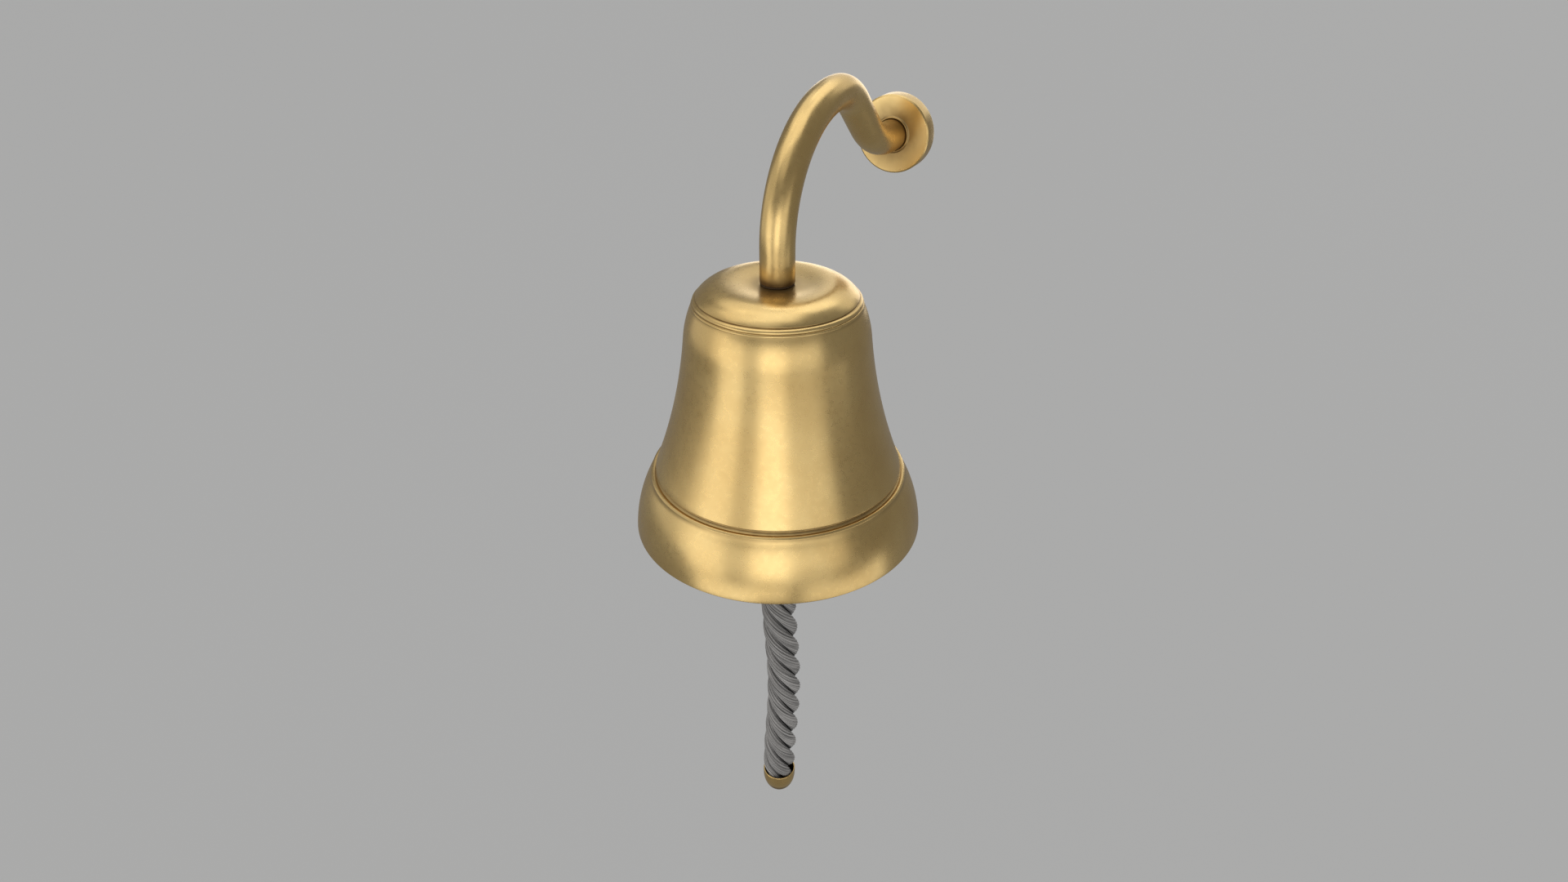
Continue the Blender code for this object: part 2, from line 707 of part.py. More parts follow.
def rope_socket(pivot):
    """The socket at the rope's head, which hangs from the shackle by its lug, and its rivet."""
    top = (SOCKET_TOP_RADIUS, SOCKET_HEAD)
    dome = [(0.0, SOCKET_HEAD), top]
    dome += arc(top, (SOCKET_RADIUS, SOCKET_SHOULDER), SOCKET_DOME_CURVE, 6)
    bore = ROPE_RADIUS + GAP
    socket = turned(
        "rope_socket",
        dome
        + [
            (SOCKET_RADIUS, SOCKET_FOOT + EDGE),
            (SOCKET_RADIUS - EDGE, SOCKET_FOOT),
            (bore, SOCKET_FOOT),
            (bore, ROPE_HEAD + GAP),
            (0.0, ROPE_HEAD + GAP),
        ],
        pivot,
        BRASS,
    )
    side = Vector((0.0, 1.0, 0.0))
    half = side * LUG_HALF_WIDTH
    add(socket, cylinder("lug_round", LUG_RADIUS, -half, half, 28))
    web_low = (-LUG_RADIUS, -LUG_HALF_WIDTH, SOCKET_HEAD - OVERRUN)
    add(socket, box("lug_web", web_low, (LUG_RADIUS, LUG_HALF_WIDTH, 0.0)))
    cut(socket, cylinder("lug_hole", SHACKLE_PIN_RADIUS + GAP, -2 * half, 2 * half))
    cut(socket, rivet_hole("socket_rivet_hole"))
    at_rivet = Vector((0.0, 0.0, RIVET_AT))
    reach = Vector((SOCKET_RADIUS + EDGE, 0.0, 0.0))
    rivet = cylinder("socket_rivet", RIVET_RADIUS, at_rivet - reach, at_rivet + reach, 12)
    place(rivet, pivot, BRASS)


def end_cap(pivot):
    """The cap on the rope's foot, with the screw that holds it."""
    skirt_foot = CAP_RIM - CAP_SKIRT
    cap_foot = skirt_foot - CAP_DEPTH
    floor = cap_foot + CAP_THICKNESS
    outer, inner = [], []
    steps = 8
    for i in range(1, steps + 1):
        turn = (math.pi / 2) * i / steps
        outer.append((CAP_RADIUS * math.cos(turn), skirt_foot - CAP_DEPTH * math.sin(turn)))
        inner.append((CAP_BORE * math.cos(turn), skirt_foot - (skirt_foot - floor) * math.sin(turn)))
    cap = [(CAP_BORE, CAP_RIM - 0.3), (CAP_BORE + 0.4, CAP_RIM), (CAP_RADIUS - 0.3, CAP_RIM)]
    cap += [(CAP_RADIUS, CAP_RIM - 0.4), (CAP_RADIUS, skirt_foot)]
    cap += [p for p in outer if p[0] > CAP_SCREW_HEAD + 1.0]
    cap += [(CAP_SCREW_HEAD + GAP, cap_foot), (CAP_SCREW_RADIUS + GAP, floor)]
    cap += [p for p in reversed(inner) if p[0] > CAP_SCREW_RADIUS + 1.0]
    cap.append((CAP_BORE, skirt_foot))
    turned("rope_end_cap", cap, pivot, BRASS, closed=True)
    tip = ROPE_FOOT + CAP_SCREW_REACH
    turned(
        "end_cap_screw",
        [
            (0.0, tip),
            (CAP_SCREW_RADIUS / 2, tip),
            (CAP_SCREW_RADIUS, tip - CAP_SCREW_POINT),
            (CAP_SCREW_RADIUS, floor),
            (CAP_SCREW_HEAD, cap_foot + 0.1),
            (0.0, cap_foot + 0.1),
        ],
        pivot,
        BRASS,
        segments=16,
    )


def rope_line():
    """Centreline of the rope: straight in its fittings, bowed a little to one side between."""
    steps = 14
    points = [(0.0, 0.0, ROPE_HEAD)]
    for i in range(steps + 1):
        share = i / steps
        height = SOCKET_FOOT + (ROPE_NECK - SOCKET_FOOT) * share
        aside = ROPE_BOW * math.sin(math.pi * share) ** 2
        points.append((aside * math.cos(ROPE_BOW_TURN), aside * math.sin(ROPE_BOW_TURN), height))
    return points + [(0.0, 0.0, CAP_RIM), (0.0, 0.0, ROPE_FOOT)]


def rope(pivot):
    """The rope as one plain tube, drawn in where it enters the end cap."""
    points = rope_line()
    neck = ROPE_NECK_RADIUS / ROPE_RADIUS
    radii = [1.0] * (len(points) - 3) + [(1.0 + neck) / 2, neck, neck]
    made = as_mesh(curve_along("rope", points, ROPE_RADIUS, 6, radii=radii))
    smooth(made.data)
    place(made, pivot, ROPE)
    cut(made, rivet_hole("rope_rivet_hole"))
    hole_low = Vector((0.0, 0.0, ROPE_FOOT - OVERRUN))
    hole_high = Vector((0.0, 0.0, ROPE_FOOT + CAP_SCREW_REACH + 2 * GAP))
    cut(made, cylinder("rope_screw_hole", CAP_SCREW_RADIUS + GAP, hole_low, hole_high, 12))


def build():
    clear_scene()
    path = arm_path()
    reach, seat = path[-1]
    wall = frame("wall_frame", None, (0.0, 0.0, 0.0))
    bell_axis = frame("bell_frame", wall, (0.0, -reach, seat - TUBE_END_HEIGHT))
    clapper_pivot = frame("clapper_frame", bell_axis, (0.0, 0.0, PIVOT_HEIGHT))
    ring_wire = RING_CENTRE - RING_MAJOR
    shackle_pivot = frame("shackle_frame", clapper_pivot, (0.0, 0.0, ring_wire))
    rope_pivot = frame("rope_frame", shackle_pivot, (0.0, 0.0, -SHACKLE_DROP))
    wall_fixing(wall)
    arm(wall, path)
    fork_head = bell_and_hanger(bell_axis)
    clapper_hinge(bell_axis, fork_head)
    clapper(clapper_pivot)
    shackle(shackle_pivot)
    rope_socket(rope_pivot)
    end_cap(rope_pivot)
    rope(rope_pivot)


build()
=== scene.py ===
"""Looks of the wall bell: satin brass, turned steel and a four-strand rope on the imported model.

Lengths are in millimetres where a name is written in capitals, and MM turns them into the
frame's metres. Heights in the bell's profile are above its mouth.
"""

import json
import math

import bpy
from mathutils import Matrix, Vector


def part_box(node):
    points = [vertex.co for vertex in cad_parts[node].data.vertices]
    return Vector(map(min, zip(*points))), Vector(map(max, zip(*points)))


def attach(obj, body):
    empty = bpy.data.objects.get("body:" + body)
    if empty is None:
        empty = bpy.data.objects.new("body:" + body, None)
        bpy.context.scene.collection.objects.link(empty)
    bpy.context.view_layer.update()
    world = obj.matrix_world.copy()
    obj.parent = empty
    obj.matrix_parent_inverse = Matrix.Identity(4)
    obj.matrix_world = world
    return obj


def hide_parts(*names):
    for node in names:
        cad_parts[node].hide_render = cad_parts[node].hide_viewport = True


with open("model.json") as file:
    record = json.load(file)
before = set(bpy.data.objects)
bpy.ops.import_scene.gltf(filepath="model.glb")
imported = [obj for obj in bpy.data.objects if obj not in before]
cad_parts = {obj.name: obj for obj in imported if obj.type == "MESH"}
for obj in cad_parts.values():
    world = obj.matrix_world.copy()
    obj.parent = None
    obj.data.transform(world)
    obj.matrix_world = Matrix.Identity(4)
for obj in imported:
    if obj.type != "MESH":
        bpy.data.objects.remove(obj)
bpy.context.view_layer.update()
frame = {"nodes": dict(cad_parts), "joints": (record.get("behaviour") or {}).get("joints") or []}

MM = 0.001

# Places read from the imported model
BELL_LOW, BELL_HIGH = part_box("bell")
AXIS = Vector(((BELL_LOW[0] + BELL_HIGH[0]) / 2, (BELL_LOW[1] + BELL_HIGH[1]) / 2, 0.0))
MOUTH = Vector((AXIS.x, AXIS.y, BELL_LOW[2]))
JOINT_AT = {joint["name"]: Vector(joint["pos_m"]) for joint in frame["joints"]}
CLAPPER_PIVOT = JOINT_AT["clapper_swing"]
SHACKLE_PIVOT = JOINT_AT["shackle_swing"]
ROPE_PIVOT = JOINT_AT["rope_swing"]
WALL = Vector((0.0, 0.0, 0.0))

# Bell
MOUTH_RADIUS = 100.0
LIP_THICKNESS = 9.0
BOW_EDGE = (87.3, 42.1)
BOW_CURVE = 90.0
WAIST_FOOT = (84.3, 46.1)
WAIST_HEAD = (60.6, 142.0)
WAIST_CURVE = 366.0
SHOULDER_HEAD = (54.9, 163.1)
SHOULDER_CURVE = 70.0
BEAD_HEAD = (52.9, 167.0)
BEAD_FOOT = (54.1, 164.8)
CROWN_EDGE = (52.0, 168.2)
CROWN_CREST = (34.0, 177.0)
SEAT_RADIUS = 13.0
SEAT_HEIGHT = 175.4
CROWN_UNDERSIDE = 168.0
INNER_BOW = (79.6, 44.0)
INNER_WAIST = (55.2, 142.0)
INNER_CROWN = (41.0, 168.0)
INNER_CROWN_CURVE = 32.0
CROWN_HOLE = 6.6
BEAD_CURVE = 2.2
CUT_CURVE = 3.0
LIP_CORNER = 1.2
SKIN_MARGIN = 3.5  # anything this far under the outer skin is inside the bell

# Arm and rosette
TUBE_RADIUS = 11.15
TUBE_WALL = 3.15
ARM_START = 6.3
STUB = 21.64
RISE_ANGLE = math.radians(42.6)
ELBOW_RADIUS = 60.2
SLOPE_LENGTH = 28.5
CREST_RADIUS = 39.2
DROP_RADIUS = 79.1
DROP_LENGTH = 20.1
ROSETTE_RADIUS = 28.1
ROSETTE_DEPTH = 12.0
ROSETTE_RIM = 3.0
ROSETTE_BORE = 11.45
ROSETTE_LIP_RADIUS = 12.9

# Wall plate and grub screws
PLATE_RADIUS = 24.0
PLATE_THICKNESS = 6.0
SPIGOT_LENGTH = 21.5
SCREW_HOLES = 3
SCREW_HOLE_RADIUS = 2.8
SCREW_CIRCLE_RADIUS = 17.0
ROSETTE_GRUB_AT = 3.4
ROSETTE_GRUB_HOLE = 2.2
ARM_GRUB_AT = 16.5
ARM_GRUB_HOLE = 3.0

# Clapper, heights from its pivot
EYE_RADIUS = 8.5
EYE_HALF_WIDTH = 5.0
BUSH_SEAT = 5.3
SHAFT_HEAD = -6.0
SHAFT_RADIUS = 4.6
SHAFT_TAPER_HEAD = -40.0
SHAFT_SHOULDER_RADIUS = 5.8
SHAFT_SHOULDER_LENGTH = 6.0
THREAD_RADIUS = 4.0
BALL_RADIUS = 22.0
BALL_CENTRE = -136.0
BALL_BORE = 4.3
COLLAR_RADIUS = 7.0
COLLAR_TAPER = 0.8
RING_MAJOR = 5.5
RING_MINOR = 2.2
RING_CENTRE = -168.2

# Shackle, heights from the wire of the tail ring
SHACKLE_WIRE = 2.0
SHACKLE_BOW = 4.7
SHACKLE_DROP = 9.5
SHACKLE_LUG_RADIUS = 3.7
SHACKLE_LUG_INNER = 2.8
SHACKLE_LUG_OUTER = 6.8
SHACKLE_HOLE = 2.3

# Rope, heights from the shackle pin
LUG_HALF_WIDTH = 2.4
LUG_RADIUS = 5.0
SOCKET_TOP_RADIUS = 6.0
SOCKET_DOME_CURVE = 11.0
RIVET_RADIUS = 1.5
RIVET_AT = -20.0
SOCKET_HEAD = -5.3
SOCKET_SHOULDER = -12.5
SOCKET_FOOT = -25.6
SOCKET_RADIUS = 15.3
ROPE_RADIUS = 13.6
ROPE_NECK_RADIUS = 11.6
ROPE_HEAD = -14.8
ROPE_FOOT = -230.6
ROPE_NECK = -221.5
ROPE_BOW = 4.1
ROPE_BOW_TURN = math.radians(28.2)
STRANDS = 4
STRAND_RADIUS = 5.15
STRAND_PITCH = 85.2
STRAND_START = math.radians(5.0)
YARNS = 14
YARN_DEPTH = 0.10
YARN_TURN = 300.0  # length in which a strand's yarns go once round it
STRAND_OVERLAP = 0.25
STRAND_TRIM = 0.2
NECK_ABOVE = 7.0  # the rope starts to narrow this far above its neck
NECK_LENGTH = 9.0
ROPE_RINGS = 200
YARN_POINTS = 8
UV_PER_MM = 0.01
CAP_RIM = -223.0
CAP_RADIUS = 13.35
CAP_BORE = 12.2
CAP_SKIRT = 5.0
CAP_DEPTH = 18.6
CAP_THICKNESS = 1.6
CAP_CORNER = 0.3
CAP_SCREW_RADIUS = 1.8
CAP_SCREW_HEAD = 3.4
CAP_SCREW_REACH = 12.0
CAP_SCREW_POINT = 3.0
CAP_SCREW_SUNK = 0.1
SLOT_HALF_WIDTH = 0.45
SLOT_DEPTH = 0.9
GAP = 0.3
EDGE = 0.6
CORNER = 0.4
OVERRUN = 3.0  # how far a cutter runs past what it cuts

# Shading of corners
BLUNT_CORNER = math.radians(155)  # a corner more open than this isn't rounded
SHARP_EDGE = math.radians(50)
SHARP_CUT_EDGE = math.radians(40)


# ---------------------------------------------------------------- mesh tools


def arc(start, end, radius, steps):
    """Points from start to end on a circle, start left out. A positive radius bulges left."""
    a, b = Vector(start), Vector(end)
    half = (b - a) / 2
    across = Vector((-half.y, half.x)).normalized() * math.copysign(1, radius)
    centre = a + half - across * math.sqrt(radius * radius - half.length_squared)
    first = math.atan2(a.y - centre.y, a.x - centre.x)
    sweep = math.atan2(b.y - centre.y, b.x - centre.x) - first
    sweep = (sweep + math.pi) % (2 * math.pi) - math.pi
    turns = [first + sweep * (i + 1) / steps for i in range(steps)]
    size = abs(radius)
    return [(centre.x + size * math.cos(t), centre.y + size * math.sin(t)) for t in turns]


def rounded(points, radius, closed=True, steps=4):
    """The outline with each sharp corner turned into a small arc."""
    made = []
    count = len(points)
    for i in range(count):
        here = Vector(points[i])
        if not closed and i in (0, count - 1):
            made.append(tuple(here))
            continue
        back = Vector(points[i - 1]) - here
        on = Vector(points[(i + 1) % count]) - here
        opening = back.angle(on)
        if opening > BLUNT_CORNER:
            made.append(tuple(here))
            continue
        reach = radius / math.tan(opening / 2)
        reach = min(reach, back.length * 0.45, on.length * 0.45)
        a = here + back.normalized() * reach
        b = here + on.normalized() * reach
        for k in range(steps + 1):
            t = k / steps
            point = a * (1 - t) ** 2 + here * 2 * t * (1 - t) + b * t**2
            made.append(tuple(point))
    return made


def finish_mesh(name, verts, faces, uvs=None, painted_shade=None):
    """An object from points and faces, with a UV and an amount of painted shade at each point."""
    mesh = bpy.data.meshes.new(name)
    mesh.from_pydata(verts, [], faces)
    if uvs is not None:
        layer = mesh.uv_layers.new(name="along")
        for loop in mesh.loops:
            layer.data[loop.index].uv = uvs[loop.vertex_index]
    # Painted shade: this attribute darkens the colour at each point to stand for shade.
    if painted_shade is not None:
        layer = mesh.attributes.new("painted_shade", "FLOAT", "POINT")
        layer.data.foreach_set("value", painted_shade)
    mesh.shade_smooth()
    mesh.set_sharp_from_angle(angle=SHARP_EDGE)
    obj = bpy.data.objects.new(name, mesh)
    bpy.context.scene.collection.objects.link(obj)
    return obj


def lathe(name, profile, origin, segments=96, along="Z", shade_spots=(), shade_by_place=None):
    """A turned piece. A profile that starts and ends on the axis is closed with two poles,
    and any other is a ring. along is Z, X, or Y for a piece square to the wall. Each shade spot
    is a radius, a height, a size and a strength of painted shade, and shade_by_place gives the
    painted shade at a radius and height."""
    poles = profile[0][0] < 1e-6
    rows = profile[1:-1] if poles else profile
    verts, painted_shade, faces = [], [], []

    def point(r, h, turn):
        x, y = r * math.cos(turn), r * math.sin(turn)
        local = {"X": (h, x, y), "Y": (x, -h, y), "Z": (x, y, h)}[along]
        return tuple(origin + Vector(local) * MM)

    # Painted shade: how dark a point is made by the shade spots and by shade_by_place.
    def shade_amount(r, h):
        amount = shade_by_place(r, h) if shade_by_place else 0.0
        for at_r, at_h, size, strength in shade_spots:
            gap = math.hypot(r - at_r, h - at_h) / size
            amount = max(amount, strength * math.exp(-gap * gap))
        return amount

    for r, h in rows:
        for k in range(segments):
            verts.append(point(r, h, 2 * math.pi * k / segments))
            painted_shade.append(shade_amount(r, h))
    count = len(rows)
    for i in range(count if not poles else count - 1):
        j = (i + 1) % count
        for k in range(segments):
            n = (k + 1) % segments
            faces.append((i * segments + k, j * segments + k, j * segments + n, i * segments + n))
    if poles:
        top, bottom = len(verts), len(verts) + 1
        verts += [point(0, profile[0][1], 0), point(0, profile[-1][1], 0)]
        painted_shade += [shade_amount(0, profile[0][1]), shade_amount(0, profile[-1][1])]
        last = (count - 1) * segments
        for k in range(segments):
            n = (k + 1) % segments
            faces.append((top, k, n))
            faces.append((bottom, last + n, last + k))
    return finish_mesh(name, verts, faces, painted_shade=painted_shade)


def transported(points):
    """A tangent and two square directions at each point, carried along without twist."""
    frames = []
    side = None
    for i, here in enumerate(points):
        before, after = points[max(i - 1, 0)], points[min(i + 1, len(points) - 1)]
        ahead = (after - before).normalized()
        if side is None:
            side = ahead.orthogonal().normalized()
        side = (side - ahead * side.dot(ahead)).normalized()
        frames.append((ahead, side, ahead.cross(side)))
    return frames


def tube(name, points, radius, sides=64, bore=0.0, shade_spots=()):
    """A round bar, or with a bore a pipe, along points in metres. Each shade spot is a point, a size
    in millimetres and a strength of painted shade."""
    frames = transported(points)
    verts, painted_shade, faces = [], [], []
    layers = [radius, bore] if bore else [radius]
    for layer in layers:
        for here, (ahead, side, across) in zip(points, frames):
            for k in range(sides):
                turn = 2 * math.pi * k / sides
                out = side * math.cos(turn) + across * math.sin(turn)
                at = here + out * layer * MM
                verts.append(tuple(at))
                # Painted shade: the point is darkened near each shade spot.
                amount = 0.0
                for spot, size, strength in shade_spots:
                    gap = (here - spot).length / (size * MM)
                    amount = max(amount, strength * math.exp(-gap * gap))
                painted_shade.append(amount)
    rings = len(points)
    for i in range(rings - 1):
        for k in range(sides):
            n = (k + 1) % sides
            a, b = i * sides, (i + 1) * sides
            faces.append((a + k, a + n, b + n, b + k))
            if bore:
                c, d = a + rings * sides, b + rings * sides
                faces.append((c + k, d + k, d + n, c + n))
    far = (rings - 1) * sides
    if bore:
        inner = rings * sides
        for k in range(sides):
            n = (k + 1) % sides
            faces.append((k, inner + k, inner + n, n))
            faces.append((far + k, far + n, inner + far + n, inner + far + k))
    else:
        faces.append(tuple(reversed(range(sides))))
        faces.append(tuple(range(far, far + sides)))
    return finish_mesh(name, verts, faces, painted_shade=painted_shade)


def rod(name, radius, origin, start, end, sides=48):
    """A round bar between two points in millimetres from an origin."""
    return tube(name, [origin + Vector(start) * MM, origin + Vector(end) * MM], radius, sides)


def block(name, origin, low, high):
    """A box between two corners in millimetres from an origin."""
    a, b = Vector(low), Vector(high)
    middle, span = (a + b) / 2, b - a
    bpy.ops.mesh.primitive_cube_add(size=1.0)
    made = bpy.context.active_object
    made.name = name
    for vert in made.data.vertices:
        vert.co = origin + Vector([m + c * s for m, c, s in zip(middle, vert.co, span)]) * MM
    return made


def combined(base, operation, *tools):
    """base after a Boolean with each tool. The tools are removed."""
    for tool in tools:
        step = base.modifiers.new(tool.name, "BOOLEAN")
        step.operation = operation
        step.object = tool
    graph = bpy.context.evaluated_depsgraph_get()
    mesh = bpy.data.meshes.new_from_object(base.evaluated_get(graph))
    base.modifiers.clear()
    base.data = mesh
    mesh.shade_smooth()
    mesh.set_sharp_from_angle(angle=SHARP_CUT_EDGE)
    for tool in tools:
        bpy.data.objects.remove(tool)
    return base


# ---------------------------------------------------------------- materials
# Noise scales are in cells a metre, and bump depths in metres.


# Painted shade: dark brown mixed into the brass where shade falls in grooves, corners and joins, which
# are also made rougher.
SHADE_BROWN = (0.17, 0.105, 0.048, 1.0)
SHADE_ROUGHNESS = 0.22
SKIN_DEPTH = 0.0003
PORE_DEPTH = 0.00003


def shader(name):
    """A new material, and its Principled BSDF."""
    made = bpy.data.materials.new(name)
    made.use_nodes = True
    return made, made.node_tree.nodes["Principled BSDF"]


class Graph:
    """Short calls for building a node tree."""

    def __init__(self, made):
        self.tree = made.node_tree

    def node(self, kind, **values):
        made = self.tree.nodes.new(kind)
        for key, value in values.items():
            if key in made.inputs:
                made.inputs[key].default_value = value
            else:
                setattr(made, key, value)
        return made

    def link(self, source, target):
        self.tree.links.new(source, target)

    def position(self, scale=(1.0, 1.0, 1.0)):
        place = self.node("ShaderNodeTexCoord")
        mapping = self.node("ShaderNodeMapping", Scale=scale)
        self.link(place.outputs["Object"], mapping.inputs["Vector"])
        return mapping.outputs["Vector"]

    def noise(self, where, scale, detail=3.0, roughness=0.5):
        made = self.node("ShaderNodeTexNoise", Scale=scale, Detail=detail, Roughness=roughness)
        self.link(where, made.inputs["Vector"])
        return made.outputs["Fac"]

    def ramp(self, source, low, high, out_low, out_high):
        made = self.node("ShaderNodeMapRange")
        for key, value in (
            ("From Min", low),
            ("From Max", high),
            ("To Min", out_low),
            ("To Max", out_high),
        ):
            made.inputs[key].default_value = value
        self.link(source, made.inputs["Value"])
        return made.outputs["Result"]

    def blend(self, amount, first, second):
        """Mixes two colours, each an RGBA or a socket, by a socket."""
        made = self.node("ShaderNodeMix", data_type="RGBA")
        self.link(amount, made.inputs["Factor"])
        for key, value in (("A", first), ("B", second)):
            socket = [s for s in made.inputs if s.name == key and s.type == "RGBA"][0]
            if isinstance(value, tuple):
                socket.default_value = value
            else:
                self.link(value, socket)
        return [s for s in made.outputs if s.type == "RGBA"][0]

    def math(self, operation, first, second):
        made = self.node("ShaderNodeMath", operation=operation)
        for socket, value in zip(made.inputs, (first, second)):
            if isinstance(value, (int, float)):
                socket.default_value = value
            else:
                self.link(value, socket)
        return made.outputs["Value"]

    def bump(self, height, distance, strength, under=None):
        made = self.node("ShaderNodeBump", Distance=distance, Strength=strength)
        self.link(height, made.inputs["Height"])
        if under:
            self.link(under, made.inputs["Normal"])
        return made.outputs["Normal"]

    def attribute(self, name):
        return self.node("ShaderNodeAttribute", attribute_name=name).outputs["Fac"]


def brass(name, bright, deep, rough, grain=1.0):
    """Satin brass: cloudy tone, brown painted shade in the corners and grooves, a fine uneven cast skin.
    """
    made, bsdf = shader(name)
    g = Graph(made)
    here = g.position()
    cloud = g.ramp(g.noise(here, 22.0, 4.0, 0.55), 0.38, 0.66, 0.0, 1.0)
    tone = g.blend(cloud, bright, deep)
    mottle = g.ramp(g.noise(here, 55.0, 2.0, 0.5), 0.4, 0.8, 0.0, 0.30)
    tone = g.blend(mottle, tone, deep)
    # Painted shade: the painted_shade amount, with ragged edges from noise, turns the colour towards
    # dark brown.
    edge = g.noise(here, 90.0, 2.0, 0.5)
    shade_amount = g.math("MULTIPLY", g.attribute("painted_shade"), g.ramp(edge, 0.25, 0.7, 0.75, 1.15))
    tone = g.blend(shade_amount, tone, SHADE_BROWN)
    g.link(tone, bsdf.inputs["Base Color"])
    bsdf.inputs["Metallic"].default_value = 1.0
    fine = g.noise(here, 260.0, 2.0, 0.5)
    satin = g.ramp(fine, 0.3, 0.7, rough - 0.02, rough + 0.03)
    worn = g.math("ADD", satin, g.math("MULTIPLY", shade_amount, SHADE_ROUGHNESS))
    g.link(worn, bsdf.inputs["Roughness"])
    skin = g.bump(g.noise(here, 110.0, 1.0, 0.4), SKIN_DEPTH, 0.030 * grain)
    pores = g.bump(g.noise(here, 520.0, 1.0, 0.4), PORE_DEPTH, 0.012 * grain, skin)
    g.link(pores, bsdf.inputs["Normal"])
    return made


def steel(name, tone, rough):
    """Turned steel with faint rings and dull spots."""
    made, bsdf = shader(name)
    g = Graph(made)
    here = g.position()
    cloud = g.ramp(g.noise(here, 60.0, 3.0), 0.35, 0.7, 0.0, 1.0)
    darker = tuple(v * 0.62 for v in tone[:3]) + (1.0,)
    g.link(g.blend(cloud, tone, darker), bsdf.inputs["Base Color"])
    bsdf.inputs["Metallic"].default_value = 1.0
    g.link(g.ramp(cloud, 0.0, 1.0, rough, rough + 0.12), bsdf.inputs["Roughness"])
    rings = g.noise(g.position((1.0, 1.0, 40.0)), 90.0, 2.0)
    g.link(g.bump(rings, 0.0001, 0.25), bsdf.inputs["Normal"])
    return made


def fibre():
    """Dark brown pressed fibre for the gasket, a dark ring that paints the contact shadow at the arm's
    foot.
    """
    made, bsdf = shader("fibre")
    g = Graph(made)
    here = g.position()
    grain = g.noise(here, 1400.0, 4.0, 0.7)
    g.link(
        g.blend(grain, (0.060, 0.036, 0.016, 1.0), (0.100, 0.062, 0.030, 1.0)),
        bsdf.inputs["Base Color"],
    )
    bsdf.inputs["Roughness"].default_value = 0.85
    g.link(g.bump(grain, 0.0002, 0.5), bsdf.inputs["Normal"])
    return made


def rope_fibre():
    """Grey twisted fibre: streaks that run with each yarn, and loose paler hairs."""
    made, bsdf = shader("rope_fibre")
    g = Graph(made)
    uv = g.node("ShaderNodeUVMap", uv_map="along")
    streak_map = g.node("ShaderNodeMapping", Scale=(26.0, 2.6, 1.0))
    g.link(uv.outputs["UV"], streak_map.inputs["Vector"])
    streak = g.noise(streak_map.outputs["Vector"], 1.0, 3.0, 0.6)
    hair_map = g.node("ShaderNodeMapping", Scale=(85.0, 7.0, 1.0))
    g.link(uv.outputs["UV"], hair_map.inputs["Vector"])
    hair = g.noise(hair_map.outputs["Vector"], 1.0, 2.0, 0.5)
    tone = g.blend(
        g.ramp(streak, 0.36, 0.64, 0.0, 1.0), (0.19, 0.184, 0.178, 1.0), (0.60, 0.58, 0.56, 1.0)
    )
    tone = g.blend(g.ramp(hair, 0.52, 0.72, 0.0, 0.7), tone, (0.80, 0.775, 0.75, 1.0))
    # Painted shade: near black in the gaps between strands and between yarns.
    tone = g.blend(g.attribute("painted_shade"), tone, (0.012, 0.012, 0.012, 1.0))
    g.link(tone, bsdf.inputs["Base Color"])
    bsdf.inputs["Roughness"].default_value = 0.88
    bsdf.inputs["Specular IOR Level"].default_value = 0.25
    bsdf.inputs["Sheen Weight"].default_value = 0.15
    low = g.bump(streak, 0.0006, 0.5)
    g.link(g.bump(hair, 0.0003, 0.4, low), bsdf.inputs["Normal"])
    return made


def floor_paint():
    """Plain pale matt paint."""
    made, bsdf = shader("floor_paint")
    bsdf.inputs["Base Color"].default_value = (0.56, 0.56, 0.555, 1.0)
    bsdf.inputs["Roughness"].default_value = 0.9
    return made


BRASS = brass("satin_brass", (0.86, 0.62, 0.265, 1.0), (0.76, 0.525, 0.21, 1.0), 0.28)
BRASS_SMALL = brass("small_brass", (0.84, 0.60, 0.25, 1.0), (0.73, 0.49, 0.19, 1.0), 0.25, 0.6)
STEEL = steel("turned_steel", (0.52, 0.51, 0.49, 1.0), 0.30)
BRONZE = steel("bush_bronze", (0.55, 0.34, 0.17, 1.0), 0.32)
SHADOW_FIBRE = fibre()
ROPE = rope_fibre()


def dress(obj, material, body, *nodes, finish="brass"):
    """obj stands for CAD nodes, wears a material and moves with a body."""
    obj.data.materials.append(material)
    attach(obj, body)
    if nodes:
        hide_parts(*nodes)
    return obj


def repaint(material, *nodes):
    """Gives a material to CAD nodes that keep their own shapes."""
    for node in nodes:
        obj = frame["nodes"][node]
        obj.data.materials.clear()
        obj.data.materials.append(material)


# ---------------------------------------------------------------- bell and arm


